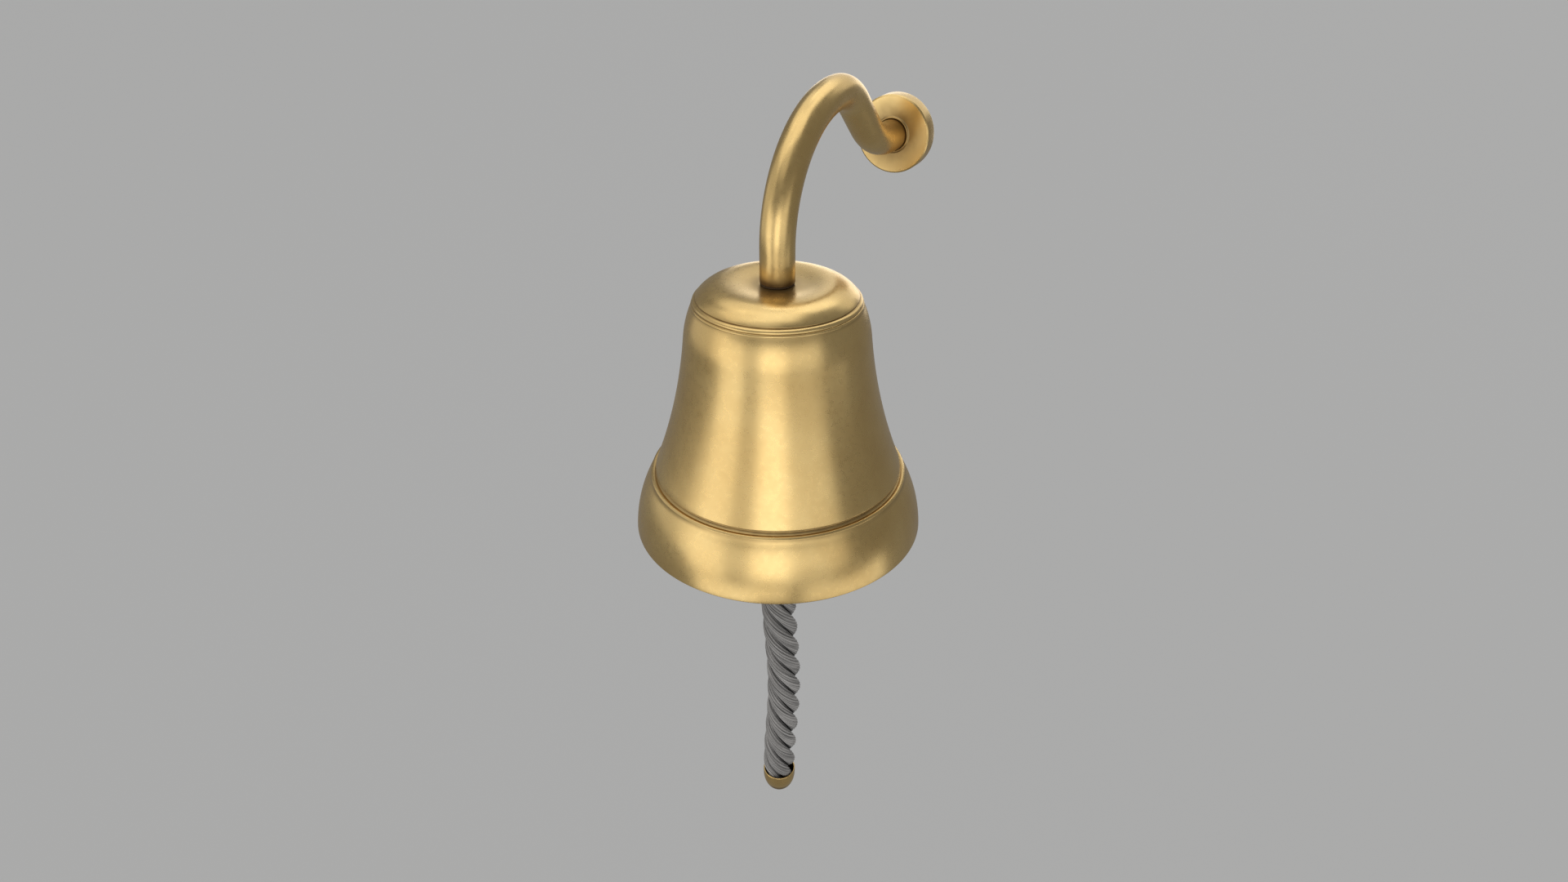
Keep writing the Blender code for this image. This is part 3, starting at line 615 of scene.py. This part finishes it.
def bell_outline():
    """The bell's section, from the crown's hole over the outside to the lip, and back up inside."""
    lip_inner = MOUTH_RADIUS - LIP_THICKNESS
    outline = [(CROWN_HOLE, SEAT_HEIGHT), (SEAT_RADIUS, SEAT_HEIGHT)]
    for i in range(1, 13):
        share = i / 12
        rise = (1 - math.cos(math.pi * share)) / 2
        outline.append(
            (
                SEAT_RADIUS + share * (CROWN_CREST[0] - SEAT_RADIUS),
                SEAT_HEIGHT + rise * (CROWN_CREST[1] - SEAT_HEIGHT),
            )
        )
    drop = CROWN_CREST[1] - CROWN_EDGE[1]
    run = CROWN_EDGE[0] - CROWN_CREST[0]
    outline += arc(CROWN_CREST, CROWN_EDGE, (run**2 + drop**2) / (2 * drop), 12)
    outline += [(CROWN_EDGE[0] - 0.5, CROWN_EDGE[1] - 0.8), BEAD_HEAD]
    outline += arc(BEAD_HEAD, BEAD_FOOT, BEAD_CURVE, 4)
    outline += [(BEAD_FOOT[0] - 0.35, BEAD_FOOT[1] - 0.3), (BEAD_FOOT[0] + 0.3, BEAD_FOOT[1] - 0.5)]
    outline += arc(outline[-1], SHOULDER_HEAD, CUT_CURVE, 3)
    outline.append((SHOULDER_HEAD[0] - 0.15, SHOULDER_HEAD[1] - 0.35))
    outline += arc(outline[-1], WAIST_HEAD, SHOULDER_CURVE, 12)
    outline += arc(WAIST_HEAD, WAIST_FOOT, -WAIST_CURVE, 24)
    foot, rim = WAIST_FOOT, BOW_EDGE
    # The groove over the sound bow, in steps from its two edges
    outline += [
        (foot[0] - 1.4, foot[1] - 0.8),
        (foot[0] - 0.8, foot[1] - 1.6),
        (foot[0] - 1.3, foot[1] - 2.3),
        (foot[0] + 0.2, rim[1] + 0.5),
        (rim[0] - 1.5, rim[1] + 0.9),
        (rim[0] - 0.6, rim[1] + 0.9),
        (rim[0] + 0.5, rim[1] - 0.1),
        (rim[0] + 0.6, rim[1] - 0.9),
    ]
    outline += arc((rim[0] + 0.7, rim[1] - 1.5), (MOUTH_RADIUS, LIP_CORNER), BOW_CURVE, 20)
    outline += [(MOUTH_RADIUS - LIP_CORNER, 0.0), (lip_inner + LIP_CORNER, 0.0)]
    outline.append((lip_inner, LIP_CORNER))
    outline += arc((lip_inner, LIP_CORNER), INNER_BOW, -BOW_CURVE, 10)
    outline += arc(INNER_BOW, INNER_WAIST, WAIST_CURVE, 16)
    outline += arc(INNER_WAIST, INNER_CROWN, -INNER_CROWN_CURVE, 8)
    outline.append((CROWN_HOLE, CROWN_UNDERSIDE))
    return rounded(outline, CORNER)


def outside_radius(height):
    """Radius of the bell's outer skin at a height, from straight lines between its edges."""
    edges = [(MOUTH_RADIUS, 0.0), (96.5, 21.0), BOW_EDGE, WAIST_FOOT, (67.6, 100.0), WAIST_HEAD]
    edges += [SHOULDER_HEAD, CROWN_EDGE, (CROWN_EDGE[0], 200.0)]
    for (r0, h0), (r1, h1) in zip(edges[:-1], edges[1:]):
        if height <= h1:
            return r0 + (r1 - r0) * (height - h0) / (h1 - h0)
    return 0.0


def make_bell():
    """The shell, with painted shade inside it, in its grooves and round the arm's foot."""

    # Painted shade over the inside of the shell, under the crown.
    def inside(r, h):
        below_crown = 2.0 < h < CROWN_UNDERSIDE + 0.5
        return 0.45 if below_crown and r < outside_radius(h) - SKIN_MARGIN else 0.0

    foot, rim = WAIST_FOOT, BOW_EDGE
    # Painted shade in the grooves, under the bead and round the arm's foot on the crown.
    shade_spots = (
        (foot[0] - 1.4, foot[1] - 0.9, 0.8, 0.65),
        (foot[0] - 1.3, foot[1] - 2.4, 0.8, 0.7),
        (rim[0] - 2.4, rim[1] + 0.6, 1.0, 0.5),
        (rim[0] + 0.6, rim[1] - 1.1, 0.5, 0.4),
        (CROWN_EDGE[0] - 0.4, CROWN_EDGE[1] - 0.7, 0.7, 0.8),
        (BEAD_FOOT[0] - 0.3, BEAD_FOOT[1] - 0.3, 0.5, 0.6),
        (SHOULDER_HEAD[0], SHOULDER_HEAD[1] - 0.4, 0.5, 0.35),
        (TUBE_RADIUS, SEAT_HEIGHT, 5.5, 0.45),
    )
    bell = lathe("bell_shell", bell_outline(), MOUTH, 192, shade_spots=shade_spots, shade_by_place=inside)
    dress(bell, BRASS, "bracket", "bell")


def arm_path():
    """Centreline of the arm in metres, from the wall plate to the bell."""
    out, up, heading = ARM_START, 0.0, 0.0
    path = [(out, up)]

    def run(length, turn, steps):
        nonlocal out, up, heading
        for _ in range(steps):
            heading += turn / steps / 2
            out += math.cos(heading) * length / steps
            up += math.sin(heading) * length / steps
            heading += turn / steps / 2
            path.append((out, up))

    run(STUB - ARM_START, 0.0, 4)
    run(ELBOW_RADIUS * RISE_ANGLE, RISE_ANGLE, 20)
    run(SLOPE_LENGTH, 0.0, 6)
    run(CREST_RADIUS * RISE_ANGLE, -RISE_ANGLE, 20)
    run(DROP_RADIUS * math.pi / 2, -math.pi / 2, 48)
    run(DROP_LENGTH, 0.0, 20)
    return [Vector((0.0, -out * MM, up * MM)) for out, up in path]


def make_arm():
    """The swan-neck tube, with the grub screw's hole under its wall end."""
    path = arm_path()
    # Painted shade at the tube's foot on the crown and near the rosette.
    shade_spots = ((path[-1], 5.0, 1.0), (path[2], 12.0, 0.3))
    arm = tube("arm_tube_fine", path, TUBE_RADIUS, 72, TUBE_RADIUS - TUBE_WALL, shade_spots)
    low = (0.0, -ARM_GRUB_AT, -TUBE_RADIUS - OVERRUN)
    high = (0.0, -ARM_GRUB_AT, -TUBE_RADIUS + TUBE_WALL + OVERRUN)
    combined(arm, "DIFFERENCE", rod("arm_grub_hole", ARM_GRUB_HOLE, WALL, low, high))
    dress(arm, BRASS, "bracket", "arm_tube")


def make_rosette():
    """The round cover at the wall, with a raised lip round the arm."""
    face, bore = ROSETTE_DEPTH, ROSETTE_BORE
    outline = [
        (bore, face + 1.0),
        (bore + 0.5, face + 1.4),
        (ROSETTE_LIP_RADIUS - 0.4, face + 1.3),
        (ROSETTE_LIP_RADIUS, face + 0.6),
        (ROSETTE_LIP_RADIUS + 0.6, face + 0.2),
        (ROSETTE_RADIUS - 1.0, face),
        (ROSETTE_RADIUS, face - 0.8),
        (ROSETTE_RADIUS, 0.0),
        (ROSETTE_RADIUS - ROSETTE_RIM, 0.0),
        (ROSETTE_RADIUS - ROSETTE_RIM, face - 3.5),
        (bore, face - 3.5),
    ]
    # Painted shade round the arm's bore and in the corner under the lip.
    shade_spots = ((bore, face + 0.8, 1.2, 0.8), (ROSETTE_LIP_RADIUS + 0.6, face, 1.6, 0.6))
    rosette = lathe("rosette_fine", rounded(outline, CORNER), WALL, 128, "Y", shade_spots)
    low = (0.0, -ROSETTE_GRUB_AT, -ROSETTE_RADIUS - OVERRUN)
    high = (0.0, -ROSETTE_GRUB_AT, -PLATE_RADIUS)
    combined(rosette, "DIFFERENCE", rod("rosette_grub_hole", ROSETTE_GRUB_HOLE, WALL, low, high))
    dress(rosette, BRASS, "bracket", "rosette")


def make_plate():
    """The steel plate under the rosette, with its spigot and screw holes."""
    spigot = TUBE_RADIUS - TUBE_WALL - GAP
    outline = [(0.0, SPIGOT_LENGTH), (spigot, SPIGOT_LENGTH), (spigot, PLATE_THICKNESS)]
    outline += [(PLATE_RADIUS, PLATE_THICKNESS), (PLATE_RADIUS, 0.0), (0.0, 0.0)]
    plate = lathe("wall_plate_fine", rounded(outline, EDGE, False), WALL, 96, "Y")
    holes = []
    for i in range(SCREW_HOLES):
        turn = math.radians(90) + 2 * math.pi * i / SCREW_HOLES
        x, z = SCREW_CIRCLE_RADIUS * math.cos(turn), SCREW_CIRCLE_RADIUS * math.sin(turn)
        start, end = (x, OVERRUN, z), (x, -PLATE_THICKNESS - OVERRUN, z)
        holes.append(rod(f"screw_hole_{i}", SCREW_HOLE_RADIUS, WALL, start, end))
    combined(plate, "DIFFERENCE", *holes)
    dress(plate, STEEL, "bracket", "wall_plate", finish="steel")


# ---------------------------------------------------------------- clapper


def make_ball():
    """The clapper's ball. Returns the height of the collar under it."""
    first = math.asin((COLLAR_RADIUS + 0.6) / BALL_RADIUS)
    steps = 40
    profile = [(BALL_BORE, BALL_CENTRE + BALL_RADIUS)]
    profile.append((COLLAR_RADIUS, BALL_CENTRE + BALL_RADIUS))
    for i in range(steps + 1):
        turn = first + (math.pi - 2 * first) * i / steps
        profile.append((BALL_RADIUS * math.sin(turn), BALL_CENTRE + BALL_RADIUS * math.cos(turn)))
    profile.append((BALL_BORE, BALL_CENTRE - BALL_RADIUS * math.cos(first)))
    ball = lathe("clapper_ball_fine", rounded(profile, CORNER), CLAPPER_PIVOT, 96)
    dress(ball, BRASS_SMALL, "clapper", "clapper_ball")
    return BALL_CENTRE - BALL_RADIUS * math.cos(first) - GAP


def make_shaft(thread_seat):
    """The clapper's shaft, with the eye that holds its bush."""
    shoulder = BALL_CENTRE + BALL_RADIUS + GAP
    foot = thread_seat + 2 * GAP
    outline = [
        (0.0, SHAFT_HEAD),
        (SHAFT_RADIUS, SHAFT_HEAD),
        (SHAFT_RADIUS, SHAFT_TAPER_HEAD),
        (SHAFT_SHOULDER_RADIUS, shoulder + SHAFT_SHOULDER_LENGTH),
        (SHAFT_SHOULDER_RADIUS, shoulder),
        (THREAD_RADIUS, shoulder),
        (THREAD_RADIUS, foot),
        (0.0, foot),
    ]
    shaft = lathe("clapper_shaft_fine", rounded(outline, EDGE, False), CLAPPER_PIVOT, 64)
    side = Vector((0.0, EYE_HALF_WIDTH, 0.0))
    combined(shaft, "UNION", rod("shaft_eye", EYE_RADIUS, CLAPPER_PIVOT, -side, side, 72))
    hole = rod("bush_seat", BUSH_SEAT, CLAPPER_PIVOT, -2 * side, 2 * side)
    combined(shaft, "DIFFERENCE", hole)
    dress(shaft, STEEL, "clapper", "clapper_shaft", finish="steel")


def make_tail_eye(head, thread_seat):
    """The collar under the ball, with the ring that the shackle hangs on."""
    foot = RING_CENTRE + RING_MAJOR - EDGE
    outline = [
        (0.0, head),
        (COLLAR_RADIUS, head),
        (COLLAR_RADIUS - COLLAR_TAPER, foot + COLLAR_TAPER),
        (COLLAR_RADIUS - 2 * COLLAR_TAPER, foot),
        (0.0, foot),
    ]
    # Painted shade at the collar's top under the ball and at its foot above the ring.
    shade_spots = ((COLLAR_RADIUS, head, 1.0, 0.7), (COLLAR_RADIUS - 2, foot, 1.5, 0.6))
    collar = lathe("tail_eye_fine", rounded(outline, EDGE, False), CLAPPER_PIVOT, 64, shade_spots=shade_spots)
    bpy.ops.mesh.primitive_torus_add(
        major_radius=RING_MAJOR * MM,
        minor_radius=RING_MINOR * MM,
        major_segments=72,
        minor_segments=28,
    )
    ring = bpy.context.active_object
    ring_at = CLAPPER_PIVOT + Vector((0.0, 0.0, RING_CENTRE * MM))
    ring.data.transform(Matrix.Translation(ring_at) @ Matrix.Rotation(math.pi / 2, 4, "X"))
    combined(collar, "UNION", ring)
    low, high = (0.0, 0.0, thread_seat), (0.0, 0.0, head + OVERRUN)
    combined(collar, "DIFFERENCE", rod("tail_thread", BALL_BORE, CLAPPER_PIVOT, low, high))
    dress(collar, BRASS_SMALL, "clapper", "tail_eye")


def make_clapper():
    """The ball, the shaft through it and the eye at its tail."""
    thread_seat = RING_CENTRE + RING_MAJOR + EDGE
    ball_foot = make_ball()
    make_shaft(thread_seat)
    make_tail_eye(ball_foot, thread_seat)


def make_shackle():
    """The bow that joins the tail ring to the rope's socket, with a lug on each leg."""
    points = [Vector((0.0, SHACKLE_BOW, -SHACKLE_DROP))]
    steps = 28
    for i in range(steps + 1):
        turn = math.pi * i / steps
        points.append(Vector((0.0, SHACKLE_BOW * math.cos(turn), SHACKLE_BOW * math.sin(turn))))
    points.append(Vector((0.0, -SHACKLE_BOW, -SHACKLE_DROP)))
    line = [SHACKLE_PIVOT + point * MM for point in points]
    bow = tube("rope_shackle_fine", line, SHACKLE_WIRE, 36)
    foot = Vector((0.0, 0.0, -SHACKLE_DROP))
    lugs = []
    for way in (-1.0, 1.0):
        inner = foot + Vector((0.0, way * SHACKLE_LUG_INNER, 0.0))
        outer = foot + Vector((0.0, way * SHACKLE_LUG_OUTER, 0.0))
        lugs.append(rod("lug", SHACKLE_LUG_RADIUS, SHACKLE_PIVOT, inner, outer, 56))
    combined(bow, "UNION", *lugs)
    past = Vector((0.0, SHACKLE_LUG_OUTER + OVERRUN, 0.0))
    hole = rod("shackle_hole", SHACKLE_HOLE, SHACKLE_PIVOT, foot - past, foot + past)
    combined(bow, "DIFFERENCE", hole)
    dress(bow, STEEL, "shackle", "rope_shackle", finish="steel")


# ---------------------------------------------------------------- rope


def rope_line():
    """Centreline of the rope in metres, from its head in the socket to its foot in the cap."""
    steps = 14
    points = [(0.0, 0.0, ROPE_HEAD)]
    for i in range(steps + 1):
        share = i / steps
        height = SOCKET_FOOT + (ROPE_NECK - SOCKET_FOOT) * share
        aside = ROPE_BOW * math.sin(math.pi * share) ** 2
        points.append((aside * math.cos(ROPE_BOW_TURN), aside * math.sin(ROPE_BOW_TURN), height))
    points += [(0.0, 0.0, CAP_RIM), (0.0, 0.0, ROPE_FOOT)]
    return [ROPE_PIVOT + Vector(p) * MM for p in points]


def rope_centre(height):
    """The rope's centre at a height, in millimetres from the shackle pin."""
    share = min(max((height - SOCKET_FOOT) / (ROPE_NECK - SOCKET_FOOT), 0.0), 1.0)
    aside = ROPE_BOW * math.sin(math.pi * share) ** 2
    return Vector((aside * math.cos(ROPE_BOW_TURN), aside * math.sin(ROPE_BOW_TURN), height))


def make_rope():
    """Four strands wound on each other, each ridged by its yarns."""
    rings = ROPE_RINGS
    around = YARNS * YARN_POINTS
    verts, faces, uvs, painted_shade = [], [], [], []
    for strand in range(STRANDS):
        centres, scales = [], []
        for i in range(rings + 1):
            run = ROPE_FOOT - ROPE_HEAD + 2 * STRAND_TRIM
            height = ROPE_HEAD - STRAND_TRIM + run * i / rings
            into_cap = min(max((ROPE_NECK + NECK_ABOVE - height) / NECK_LENGTH, 0.0), 1.0)
            into_cap = into_cap * into_cap * (3 - 2 * into_cap)
            scale = 1 - (1 - ROPE_NECK_RADIUS / ROPE_RADIUS) * into_cap
            turn = 2 * math.pi * ((ROPE_HEAD - height) / STRAND_PITCH + strand / STRANDS)
            turn += STRAND_START
            orbit = (ROPE_RADIUS - STRAND_RADIUS - STRAND_OVERLAP) * scale
            out = Vector((math.cos(turn), math.sin(turn), 0.0))
            centres.append((rope_centre(height) + out * orbit, out))
            scales.append(scale)
        first = len(verts)
        for i, (centre, out) in enumerate(centres):
            before, after = centres[max(i - 1, 0)][0], centres[min(i + 1, rings)][0]
            ahead = (after - before).normalized()
            side = (out - ahead * out.dot(ahead)).normalized()
            across = ahead.cross(side)
            travelled = i / rings * abs(ROPE_FOOT - ROPE_HEAD)
            twist = -2 * math.pi * travelled / YARN_TURN
            for k in range(around):
                turn = 2 * math.pi * k / around
                ridge = abs(math.cos((turn * YARNS) / 2))
                size = STRAND_RADIUS * scales[i] * (1 - YARN_DEPTH * (1 - ridge))
                way = side * math.cos(turn + twist) + across * math.sin(turn + twist)
                at = centre + way * size
                verts.append(tuple(ROPE_PIVOT + at * MM))
                uvs.append((k / around + strand, travelled * UV_PER_MM))
                # Painted shade: dark on the side of each strand that faces the rope's middle and in the
                # valleys between yarns.
                sunk = min(max((0.30 - math.cos(turn + twist)) / 0.7, 0.0), 1.0)
                painted_shade.append(min(1.0, sunk + 0.5 * (1 - ridge) ** 2))
        for i in range(rings):
            a, b = first + i * around, first + (i + 1) * around
            for k in range(around):
                n = (k + 1) % around
                faces.append((a + k, a + n, b + n, b + k))
        faces.append(tuple(reversed(range(first, first + around))))
        last = first + rings * around
        faces.append(tuple(range(last, last + around)))
    return finish_mesh("rope_strands", verts, faces, uvs, painted_shade)


def make_socket():
    """The socket on the rope's head: a domed cup with a lug for the shackle pin."""
    bore = ROPE_RADIUS + GAP
    top = (SOCKET_TOP_RADIUS, SOCKET_HEAD)
    outline = [(0.0, SOCKET_HEAD), top]
    outline += arc(top, (SOCKET_RADIUS, SOCKET_SHOULDER), SOCKET_DOME_CURVE, 16)
    outline += [(SOCKET_RADIUS, SOCKET_FOOT), (bore, SOCKET_FOOT)]
    outline += [(bore, ROPE_HEAD + GAP), (0.0, ROPE_HEAD + GAP)]
    # Painted shade at the socket's foot round the rope and where the lug meets the dome.
    shade_spots = ((SOCKET_RADIUS, SOCKET_FOOT, 1.2, 0.5), (LUG_RADIUS, SOCKET_HEAD, 1.5, 0.8))
    socket = lathe("rope_socket_fine", rounded(outline, EDGE, False), ROPE_PIVOT, 96, shade_spots=shade_spots)
    half = Vector((0.0, LUG_HALF_WIDTH, 0.0))
    low = (-LUG_RADIUS, -LUG_HALF_WIDTH, SOCKET_HEAD - OVERRUN)
    web = block("lug_web", ROPE_PIVOT, low, (LUG_RADIUS, LUG_HALF_WIDTH, 0.0))
    combined(socket, "UNION", rod("lug_round", LUG_RADIUS, ROPE_PIVOT, -half, half, 64), web)
    across = Vector((SOCKET_RADIUS + OVERRUN, 0.0, 0.0))
    at_rivet = Vector((0.0, 0.0, RIVET_AT))
    holes = [rod("lug_hole", SHACKLE_HOLE, ROPE_PIVOT, -2 * half, 2 * half)]
    rivet_ends = (at_rivet - across, at_rivet + across)
    holes.append(rod("rivet_hole", RIVET_RADIUS + GAP, ROPE_PIVOT, *rivet_ends))
    combined(socket, "DIFFERENCE", *holes)
    dress(socket, BRASS_SMALL, "bell_rope", "rope_socket")


def make_cap_screw(floor, foot):
    """A countersunk screw with a slot, flush with the cap's foot."""
    tip = ROPE_FOOT + CAP_SCREW_REACH
    outline = [
        (0.0, tip),
        (CAP_SCREW_RADIUS / 2, tip),
        (CAP_SCREW_RADIUS, tip - CAP_SCREW_POINT),
        (CAP_SCREW_RADIUS, floor),
        (CAP_SCREW_HEAD, foot + CAP_SCREW_SUNK),
        (0.0, foot + CAP_SCREW_SUNK),
    ]
    screw = lathe("end_cap_screw_fine", outline, ROPE_PIVOT, 48)
    low = (-CAP_RADIUS, -SLOT_HALF_WIDTH, foot - OVERRUN)
    slot = block("slot", ROPE_PIVOT, low, (CAP_RADIUS, SLOT_HALF_WIDTH, foot + SLOT_DEPTH))
    combined(screw, "DIFFERENCE", slot)
    return dress(screw, BRASS_SMALL, "bell_rope", "end_cap_screw")


def make_cap():
    """The thin cup at the rope's foot. Returns it and its screw."""
    skirt_foot = CAP_RIM - CAP_SKIRT
    foot = skirt_foot - CAP_DEPTH
    floor = foot + CAP_THICKNESS
    outer, inner = [], []
    steps = 24
    for i in range(1, steps + 1):
        turn = (math.pi / 2) * i / steps
        outer.append((CAP_RADIUS * math.cos(turn), skirt_foot - CAP_DEPTH * math.sin(turn)))
        inner.append((CAP_BORE * math.cos(turn), skirt_foot - (skirt_foot - floor) * math.sin(turn)))
    cap = [(CAP_BORE, CAP_RIM - 0.3), (CAP_BORE + 0.4, CAP_RIM), (CAP_RADIUS - 0.3, CAP_RIM)]
    cap += [(CAP_RADIUS, CAP_RIM - 0.4), (CAP_RADIUS, skirt_foot)]
    cap += [p for p in outer if p[0] > CAP_SCREW_HEAD + 1.0]
    cap += [(CAP_SCREW_HEAD + GAP, foot), (CAP_SCREW_RADIUS + GAP, floor)]
    cap += [p for p in reversed(inner) if p[0] > CAP_SCREW_RADIUS + 1.0]
    cap.append((CAP_BORE, skirt_foot))

    # Painted shade inside the cap, round the rope's foot.
    def inside(r, h):
        return 0.7 if r < CAP_BORE + 0.1 and h > floor - 0.1 else 0.0

    made = lathe("end_cap_fine", rounded(cap, CAP_CORNER), ROPE_PIVOT, 96, shade_by_place=inside)
    dress(made, BRASS_SMALL, "bell_rope", "rope_end_cap")
    return made, make_cap_screw(floor, foot)


def make_rope_and_cap():
    """The rope with its fittings. Returns the rope."""
    rope = dress(make_rope(), ROPE, "bell_rope", "rope", finish="rope")
    cap, screw = make_cap()
    line = rope_line()
    return rope


# ---------------------------------------------------------------- stage


CAMERA_AT = Vector((0.2675, -0.6784, 0.1626))
CAMERA_TILT = math.radians(59.2)
CAMERA_TURN = math.radians(28.24)
CAMERA_LENS = 21.71
SENSOR_WIDTH = 36.0
FLOOR_HEIGHT = -1.9
FLOOR_SIZE = 60.0
FLOOR_SUN_STRENGTH = 1.75
FLOOR_SUN_SPREAD = math.radians(70)
FLOOR_SUN_TILT = (math.radians(-20), math.radians(15), 0.0)
SKY = (0.9, 0.9, 0.9, 1.0)
SKY_STRENGTH = 0.23
AIM = Vector((0.0, -0.189, -0.14))
SOFTBOX_DISTANCE = 2.0


def make_camera():
    """The photograph's view."""
    data = bpy.data.cameras.new("camera")
    data.lens = CAMERA_LENS
    data.sensor_width = SENSOR_WIDTH
    camera = bpy.data.objects.new("camera", data)
    camera.location = CAMERA_AT
    camera.rotation_euler = (CAMERA_TILT, 0.0, CAMERA_TURN)
    bpy.context.scene.collection.objects.link(camera)
    bpy.context.scene.camera = camera


def make_floor():
    """A wide plain floor, which the brass doesn't mirror."""
    bpy.ops.mesh.primitive_plane_add(size=FLOOR_SIZE, location=(0.0, 0.0, FLOOR_HEIGHT))
    floor = bpy.context.active_object
    floor.name = "floor"
    floor.visible_glossy = False
    floor.data.materials.append(floor_paint())
    return floor


def softbox(name, azimuth, elevation, width, height, radiance):
    """A rectangular light aimed at the bell. Azimuth is from the camera's side, left positive."""
    toward = CAMERA_TURN - math.radians(azimuth)
    rise = math.radians(elevation)
    way = Vector((math.sin(toward) * math.cos(rise), -math.cos(toward) * math.cos(rise), math.sin(rise)))
    data = bpy.data.lights.new(name, "AREA")
    data.shape = "RECTANGLE"
    data.size, data.size_y = width, height
    data.energy = radiance * math.pi * width * height
    light = bpy.data.objects.new(name, data)
    light.visible_camera = False
    light.location = AIM + way * SOFTBOX_DISTANCE
    light.rotation_euler = way.to_track_quat("Z", "Y").to_euler()
    bpy.context.scene.collection.objects.link(light)
    return light


SOFTBOXES = (
    # name, azimuth and elevation in degrees, width and height in metres, radiance
    ("front_key", 6.0, 2.0, 1.06, 1.06, 1.42),
    ("front_right", -22.5, 6.0, 1.00, 0.75, 0.35),
    ("front_right_low", -24.0, 0.0, 1.14, 1.15, 0.36),
    ("right_edge", -45.0, 3.0, 0.53, 0.95, 0.56),
    ("front_gap", 30.0, 3.0, 0.53, 0.95, 0.48),
    ("left_key", 54.0, -1.0, 1.06, 1.20, 1.05),
    ("left_soft", 75.0, 3.0, 0.53, 0.95, 0.75),
    ("left_far", 105.0, 3.0, 1.60, 0.95, 0.36),
    ("back_low", -165.0, 3.0, 1.60, 0.95, 1.30),
    ("low_key", 5.0, -25.0, 0.80, 0.40, 0.95),
    ("low_left", 39.0, -29.0, 1.50, 0.60, 1.05),
    ("low_right", -52.0, -30.0, 2.30, 0.70, 0.75),
    ("back_mid", -150.0, 30.0, 2.10, 1.00, 0.55),
    ("left_mid", 90.0, 30.0, 2.10, 1.00, 0.30),
    ("top_back", -150.0, 57.0, 1.20, 1.00, 1.10),
    ("top_left", 90.0, 57.0, 1.20, 1.00, 0.85),
    ("top_back_left", 150.0, 57.0, 1.20, 1.00, 0.75),
    ("top_front", 30.0, 57.0, 1.20, 1.00, 0.42),
    ("overhead", 0.0, 88.0, 1.30, 1.30, 1.00),
)


def linked(name, objects, state):
    """A light's receivers: the objects alone, or with state EXCLUDE all but the objects."""
    receivers = bpy.data.collections.new(name)
    for i, obj in enumerate(objects):
        receivers.objects.link(obj)
        receivers.collection_objects[i].light_linking.link_state = state
    return receivers


def make_lights(floor, rope):
    """Softboxes light the object alone, and a soft sun lights the floor alone, evenly. The low
    softboxes leave out the rope, so that its strands are lit from above."""
    object_only = linked("all_but_floor", [floor], "EXCLUDE")
    metal_only = linked("all_but_floor_and_rope", [floor, rope], "EXCLUDE")
    for name, azimuth, elevation, width, height, radiance in SOFTBOXES:
        light = softbox(name, azimuth, elevation, width, height, radiance)
        receivers = metal_only if elevation < 0 else object_only
        light.light_linking.receiver_collection = receivers
    sun = bpy.data.objects.new("floor_wash", bpy.data.lights.new("floor_wash", "SUN"))
    sun.data.energy = FLOOR_SUN_STRENGTH
    sun.data.angle = FLOOR_SUN_SPREAD
    sun.rotation_euler = FLOOR_SUN_TILT
    sun.light_linking.receiver_collection = linked("floor_only", [floor], "INCLUDE")
    bpy.context.scene.collection.objects.link(sun)
    world = bpy.data.worlds.new("studio")
    world.use_nodes = True
    sky = world.node_tree.nodes["Background"]
    sky.inputs["Color"].default_value = SKY
    sky.inputs["Strength"].default_value = SKY_STRENGTH
    bpy.context.scene.world = world
    bpy.context.scene.view_settings.view_transform = "Standard"


make_camera()
rope_piece = make_rope_and_cap()
make_bell()
make_arm()
make_rosette()
make_plate()
make_clapper()
make_shackle()
make_socket()
repaint(
    STEEL,
    "rosette_grub_screw",
    "arm_grub_screw",
    "hanger_stud",
    "crown_washer",
    "lock_nut",
    "clapper_fork",
    "clapper_pin",
    "pin_clip",
    "shackle_pin",
    "shackle_nut",
)
repaint(BRASS_SMALL, "arm_end_plug", "socket_rivet")
repaint(BRONZE, "clapper_bush")
# The gasket's dark fibre paints the contact shadow round the arm's foot.
repaint(SHADOW_FIBRE, "crown_gasket")
make_lights(make_floor(), rope_piece)
